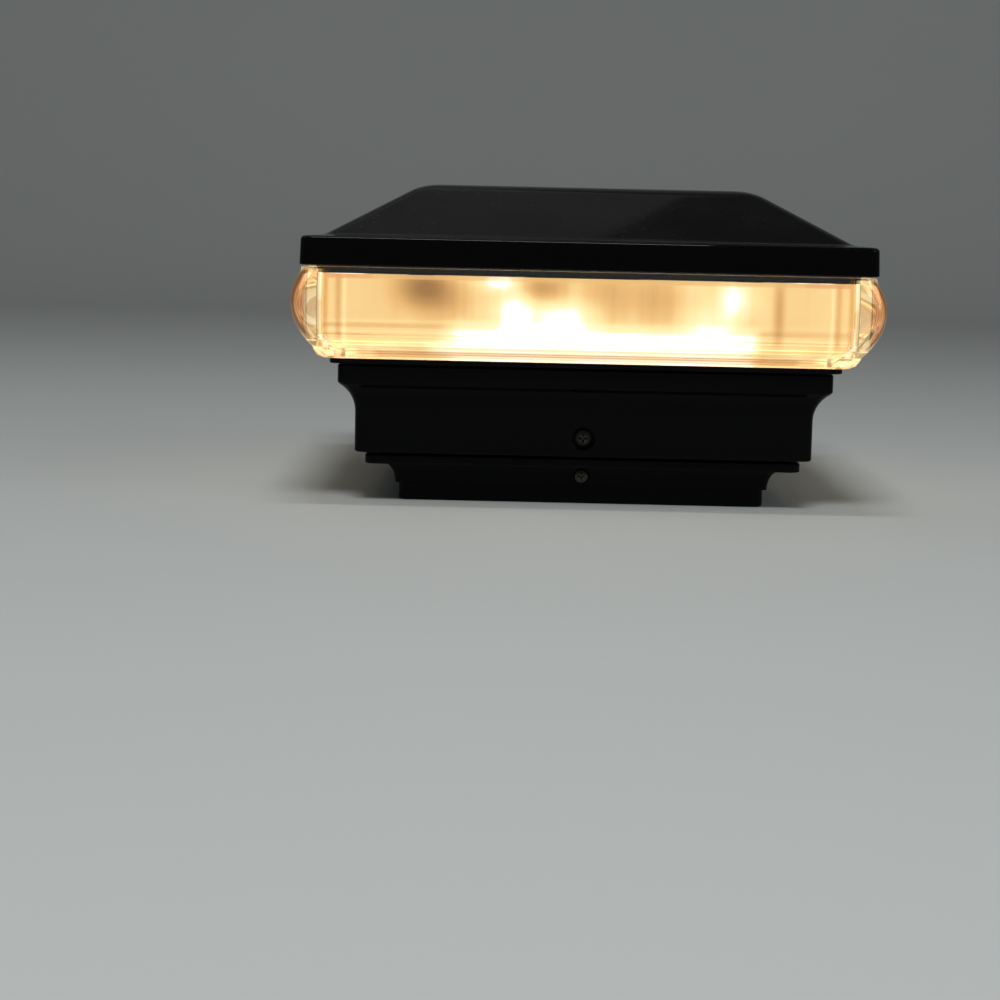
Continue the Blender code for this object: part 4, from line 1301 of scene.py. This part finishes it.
def make_door():
    low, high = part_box("battery_door")
    hinge = hinge_axis()
    top = hinge.z + 0.0021
    bottom = top - 0.0018
    x, y = high.x - 0.0020, high.y
    bm = bmesh.new()
    add_box(bm, (-x, -y, bottom), (x, y, top), 0.0003)
    door = helper("door", bm)
    steps = []
    bm = bmesh.new()
    add_box(bm, (x - 0.001, -0.0050, bottom), (high.x, 0.0050, bottom + 0.0014), 0.0003)
    steps.append(("UNION", helper("tab", bm)))
    bars, arms = bmesh.new(), bmesh.new()
    for start, end in ((0.0100, 0.0200), (-0.0200, -0.0100)):
        add_bar(bars, (hinge.x, start, hinge.z), (hinge.x, end, hinge.z), 0.0021)
        add_box(arms, (hinge.x, start, bottom + 0.0002), (-x + 0.0010, end, top - 0.0004))
    steps += [("UNION", helper("door_knuckles", bars)), ("UNION", helper("door_arms", arms))]
    bm = bmesh.new()
    add_bar(bm, (hinge.x, -0.0320, hinge.z), (hinge.x, 0.0320, hinge.z), 0.00115)
    steps.append(("DIFFERENCE", helper("door_bore", bm)))
    bm = bmesh.new()
    for k in range(5):
        ridge = x - 0.0020 - k * 0.0013
        add_box(bm, (ridge - 0.0003, -0.0070, bottom - 0.0002), (ridge + 0.0003, 0.0070, bottom + 0.0003))
    steps.append(("DIFFERENCE", helper("grip_grooves", bm)))
    bm = bmesh.new()
    add_box(bm, (-x + 0.0030, -y + 0.0030, top - 0.0005), (x - 0.0030, y - 0.0030, top + 0.0005), 0.0002)
    steps.append(("DIFFERENCE", helper("inner_recess", bm)))
    fit(crisp(combine(door, steps), 38), "battery_door")


def make_pin():
    low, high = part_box("hinge_pin")
    axis = hinge_axis()
    r = 0.0008
    length_of = high.y - low.y
    outline = [(0, 0, 0), (0.0015, 0, 0.0003), (0.0015, -0.0008, 0.0001), (r, -0.0008, 0)]
    outline += [(r, -length_of, 0.0003), (0, -length_of, 0)]
    pin = turned("pin", rounded_outline(outline, closed=False, steps=4), 40)
    place = Matrix.Translation((axis.x, low.y, axis.z)) @ Matrix.Rotation(math.radians(90), 4, "X")
    fit(crisp(settle(pin, place)), "hinge_pin")


def make_switch():
    low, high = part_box("switch_body")
    bm = bmesh.new()
    add_box(bm, low, high, 0.0003)
    body = helper("switch_case", bm)
    middle = (low.x + high.x) / 2
    bm = bmesh.new()
    add_box(bm, (middle - 0.0041, -0.0023, low.z - 0.001), (middle + 0.0041, 0.0023, low.z + 0.0030), 0.0002)
    slot = helper("switch_slot", bm)
    fit(crisp(combine(body, [("DIFFERENCE", slot)])), "switch_body")
    low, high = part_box("switch_knob")
    bm = bmesh.new()
    add_box(bm, low, high, 0.0004)
    knob = helper("knob", bm)
    bm = bmesh.new()
    middle = (low.x + high.x) / 2
    for k in (-1, 0, 1):
        x = middle + k * 0.0009
        add_box(bm, (x - 0.0002, low.y - 0.001, low.z - 0.001), (x + 0.0002, high.y + 0.001, low.z + 0.0004))
    fit(crisp(combine(knob, [("DIFFERENCE", helper("grip", bm))])), "switch_knob")


def make_lamps():
    """The four round lamps that hang from their boards."""
    low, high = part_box("led_front_left")
    r = 0.0025
    top, tip = high.z, low.z
    dome = [(r * math.cos(a), tip + r - r * math.sin(a)) for a in (math.radians(6 * k) for k in range(15))]
    outline = [(0, top), (r + 0.0004, top), (r + 0.0004, top - 0.0010), (r, top - 0.0010), *dome, (0, tip)]
    pattern = settle(turned("lamp", outline, 40))
    reach = -(low.x + high.x) / 2
    places = {
        f"lamp_{corner}": Matrix.Translation((reach * x, reach * y, 0)) for corner, (x, y) in CORNERS.items()
    }
    for corner, made in zip(CORNERS, copies(pattern, places)):
        fit(made, f"led_{corner}")


def finish_inner_parts():
    """Gives the parts kept from the CAD model their finishes."""
    for name, node in frame["nodes"].items():
        if not node.hide_render:
            node.data.materials.clear()
            node.data.materials.append(finish(SLOT_OF[name]))


# Stage


def floor_finish():
    r = Recipe("studio_floor")
    shade = tuple(settings().stage.floor)
    cloud = r.noise(3.0, 3)
    return r.surface(
        Base_Color=r.mix(cloud, shade, [c * 0.96 for c in shade]),
        Roughness=0.62 + cloud * 0.1,
    )


def make_floor():
    """A floor that curves up into a backdrop."""
    radius, back, height, width = 0.7, 2.2, 3.0, 6.0
    bm = bmesh.new()
    points = [(-3.0, 0.0), (back - radius, 0.0)]
    for k in range(1, 25):
        a = math.radians(90 * k / 24)
        points.append((back - radius + radius * math.sin(a), radius - radius * math.cos(a)))
    points.append((back, height))
    rows = [[bm.verts.new((x, y, z)) for y, z in points] for x in (-width, width)]
    for a, b, c, d in zip(rows[0], rows[0][1:], rows[1][1:], rows[1]):
        bm.faces.new((a, d, c, b))
    floor = helper("studio_floor", bm)
    floor.data.shade_smooth()
    floor.data.materials.append(floor_finish())
    return floor


def soft_light(name, place, aim, size, power, warmth=(1.0, 1.0, 1.0), turned_by=0.0):
    data = bpy.data.lights.new(name, "AREA")
    data.shape = "RECTANGLE"
    data.size, data.size_y = size
    data.energy = power
    data.color = warmth
    made = link(name, data)
    made.location = place
    look = (Vector(aim) - Vector(place)).to_track_quat("-Z", "Y")
    made.rotation_euler = (look.to_matrix() @ Matrix.Rotation(math.radians(turned_by), 3, "Z")).to_euler()
    return made


def make_world():
    world = bpy.data.worlds.new("studio")
    world.use_nodes = True
    level = settings().stage.world
    shade = world.node_tree.nodes["Background"]
    shade.inputs["Color"].default_value = (1.0, 1.0, 1.0, 1.0)
    shade.inputs["Strength"].default_value = level
    bpy.context.scene.world = world


def make_camera():
    s = settings().stage
    data = bpy.data.cameras.new("camera")
    data.lens = s.lens
    data.sensor_width = 36.0
    made = link("camera", data)
    made.location = (
        s.distance * math.sin(s.azimuth),
        -s.distance * math.cos(s.azimuth),
        s.height,
    )
    aim = (
        Matrix.Rotation(s.azimuth + s.yaw, 3, "Z")
        @ Matrix.Rotation(math.radians(90) - s.pitch, 3, "X")
        @ Matrix.Rotation(s.roll, 3, "Z")
    )
    made.rotation_euler = aim.to_euler()
    bpy.context.scene.camera = made
    bpy.context.scene.view_settings.view_transform = "Standard"
    return made


def make_stage():
    make_world()
    pieces = [
        make_floor(),
        make_camera(),
        soft_light("key", (-0.055, -1.10, 1.20), (-0.055, 0, 0.08), (0.45, 0.35), 10),
        soft_light("fill", (1.3, -0.9, 0.8), (0, 0, 0.05), (0.8, 0.8), 3),
        soft_light("roof sheet", (-0.415, 0.420, 0.90), (-0.415, 0.420, 0), (1.0, 0.5), 0.26, turned_by=32),
        soft_light("rim strip", (-0.045, -0.36, 1.15), (-0.045, 0, 0), (0.35, 0.08), 2.2),
    ]
    pieces[2].visible_glossy = False


# Operators, one for each piece or group of like pieces


class PieceOperator:
    bl_options = {"REGISTER", "UNDO"}
    makers = ()

    def execute(self, context):
        for make in self.makers:
            make()
        return {"FINISHED"}


class POSTCAP_OT_roof(PieceOperator, bpy.types.Operator):
    """Makes the roof moulding and the screw posts under it"""

    bl_idname = "post_cap.roof"
    bl_label = "Roof"
    makers = (make_roof,)


class POSTCAP_OT_panel(PieceOperator, bpy.types.Operator):
    """Makes the solar panel's clear cover and its seal"""

    bl_idname = "post_cap.panel"
    bl_label = "Solar panel"
    makers = (make_panel,)


class POSTCAP_OT_lens(PieceOperator, bpy.types.Operator):
    """Makes the clear lens with its retainer and seals"""

    bl_idname = "post_cap.lens"
    bl_label = "Lens"
    makers = (make_lens, make_lens_rings)


class POSTCAP_OT_sheet(PieceOperator, bpy.types.Operator):
    """Makes the milky sheet behind the lens, which glows with painted light"""

    bl_idname = "post_cap.sheet"
    bl_label = "Milky sheet"
    makers = (make_sheet,)


class POSTCAP_OT_skirt(PieceOperator, bpy.types.Operator):
    """Makes the skirt of the base with its screw recesses"""

    bl_idname = "post_cap.skirt"
    bl_label = "Skirt"
    makers = (make_skirt,)


class POSTCAP_OT_adapter(PieceOperator, bpy.types.Operator):
    """Makes the adapter that slips over the post"""

    bl_idname = "post_cap.adapter"
    bl_label = "Post adapter"
    makers = (make_adapter,)


class POSTCAP_OT_screws(PieceOperator, bpy.types.Operator):
    """Makes all the cross-recess screws"""

    bl_idname = "post_cap.screws"
    bl_label = "Screws"
    makers = (make_base_screws, make_head_screws)


class POSTCAP_OT_tray(PieceOperator, bpy.types.Operator):
    """Makes the tray with its battery box and hinge knuckles"""

    bl_idname = "post_cap.tray"
    bl_label = "Tray"
    makers = (make_tray,)


class POSTCAP_OT_door(PieceOperator, bpy.types.Operator):
    """Makes the battery door and its hinge pin"""

    bl_idname = "post_cap.door"
    bl_label = "Battery door"
    makers = (make_door, make_pin)


class POSTCAP_OT_switch(PieceOperator, bpy.types.Operator):
    """Makes the slide switch and its knob"""

    bl_idname = "post_cap.switch"
    bl_label = "Switch"
    makers = (make_switch,)


class POSTCAP_OT_lamps(PieceOperator, bpy.types.Operator):
    """Makes the four lamps"""

    bl_idname = "post_cap.lamps"
    bl_label = "Lamps"
    makers = (make_lamps,)


class POSTCAP_OT_inner(PieceOperator, bpy.types.Operator):
    """Finishes the inner parts that keep their CAD shapes"""

    bl_idname = "post_cap.inner"
    bl_label = "Inner parts"
    makers = (finish_inner_parts,)


class POSTCAP_OT_stage(PieceOperator, bpy.types.Operator):
    """Makes the floor, lights and camera"""

    bl_idname = "post_cap.stage"
    bl_label = "Stage"
    makers = (make_stage,)


PIECES = (
    POSTCAP_OT_roof,
    POSTCAP_OT_panel,
    POSTCAP_OT_lens,
    POSTCAP_OT_sheet,
    POSTCAP_OT_skirt,
    POSTCAP_OT_adapter,
    POSTCAP_OT_screws,
    POSTCAP_OT_tray,
    POSTCAP_OT_door,
    POSTCAP_OT_switch,
    POSTCAP_OT_lamps,
    POSTCAP_OT_inner,
    POSTCAP_OT_stage,
)


class VIEW3D_PT_post_cap(bpy.types.Panel):
    bl_label = "Post cap"
    bl_idname = "VIEW3D_PT_post_cap"
    bl_space_type = "VIEW_3D"
    bl_region_type = "UI"
    bl_category = "Post cap"

    def draw(self, context):
        cap = context.scene.post_cap
        self.layout.prop(cap, "smoothness")
        for group in (cap.roof, cap.lens, cap.base, cap.finish, cap.stage):
            box = self.layout.box()
            for name in group.bl_rna.properties.keys():
                if name not in ("rna_type", "name"):
                    box.prop(group, name)
        for operator in PIECES:
            self.layout.operator(operator.bl_idname)


CLASSES = (
    PostCapRoofSettings,
    PostCapLensSettings,
    PostCapBaseSettings,
    PostCapFinishSettings,
    PostCapStageSettings,
    PostCapSettings,
    *PIECES,
    VIEW3D_PT_post_cap,
)


def register():
    for cls in CLASSES:
        bpy.utils.register_class(cls)
    bpy.types.Scene.post_cap = PointerProperty(type=PostCapSettings)


def unregister():
    del bpy.types.Scene.post_cap
    for cls in reversed(CLASSES):
        bpy.utils.unregister_class(cls)


def main():
    register()
    for operator in PIECES:
        group, name = operator.bl_idname.split(".")
        getattr(getattr(bpy.ops, group), name)()


if __name__ == "__main__":
    main()
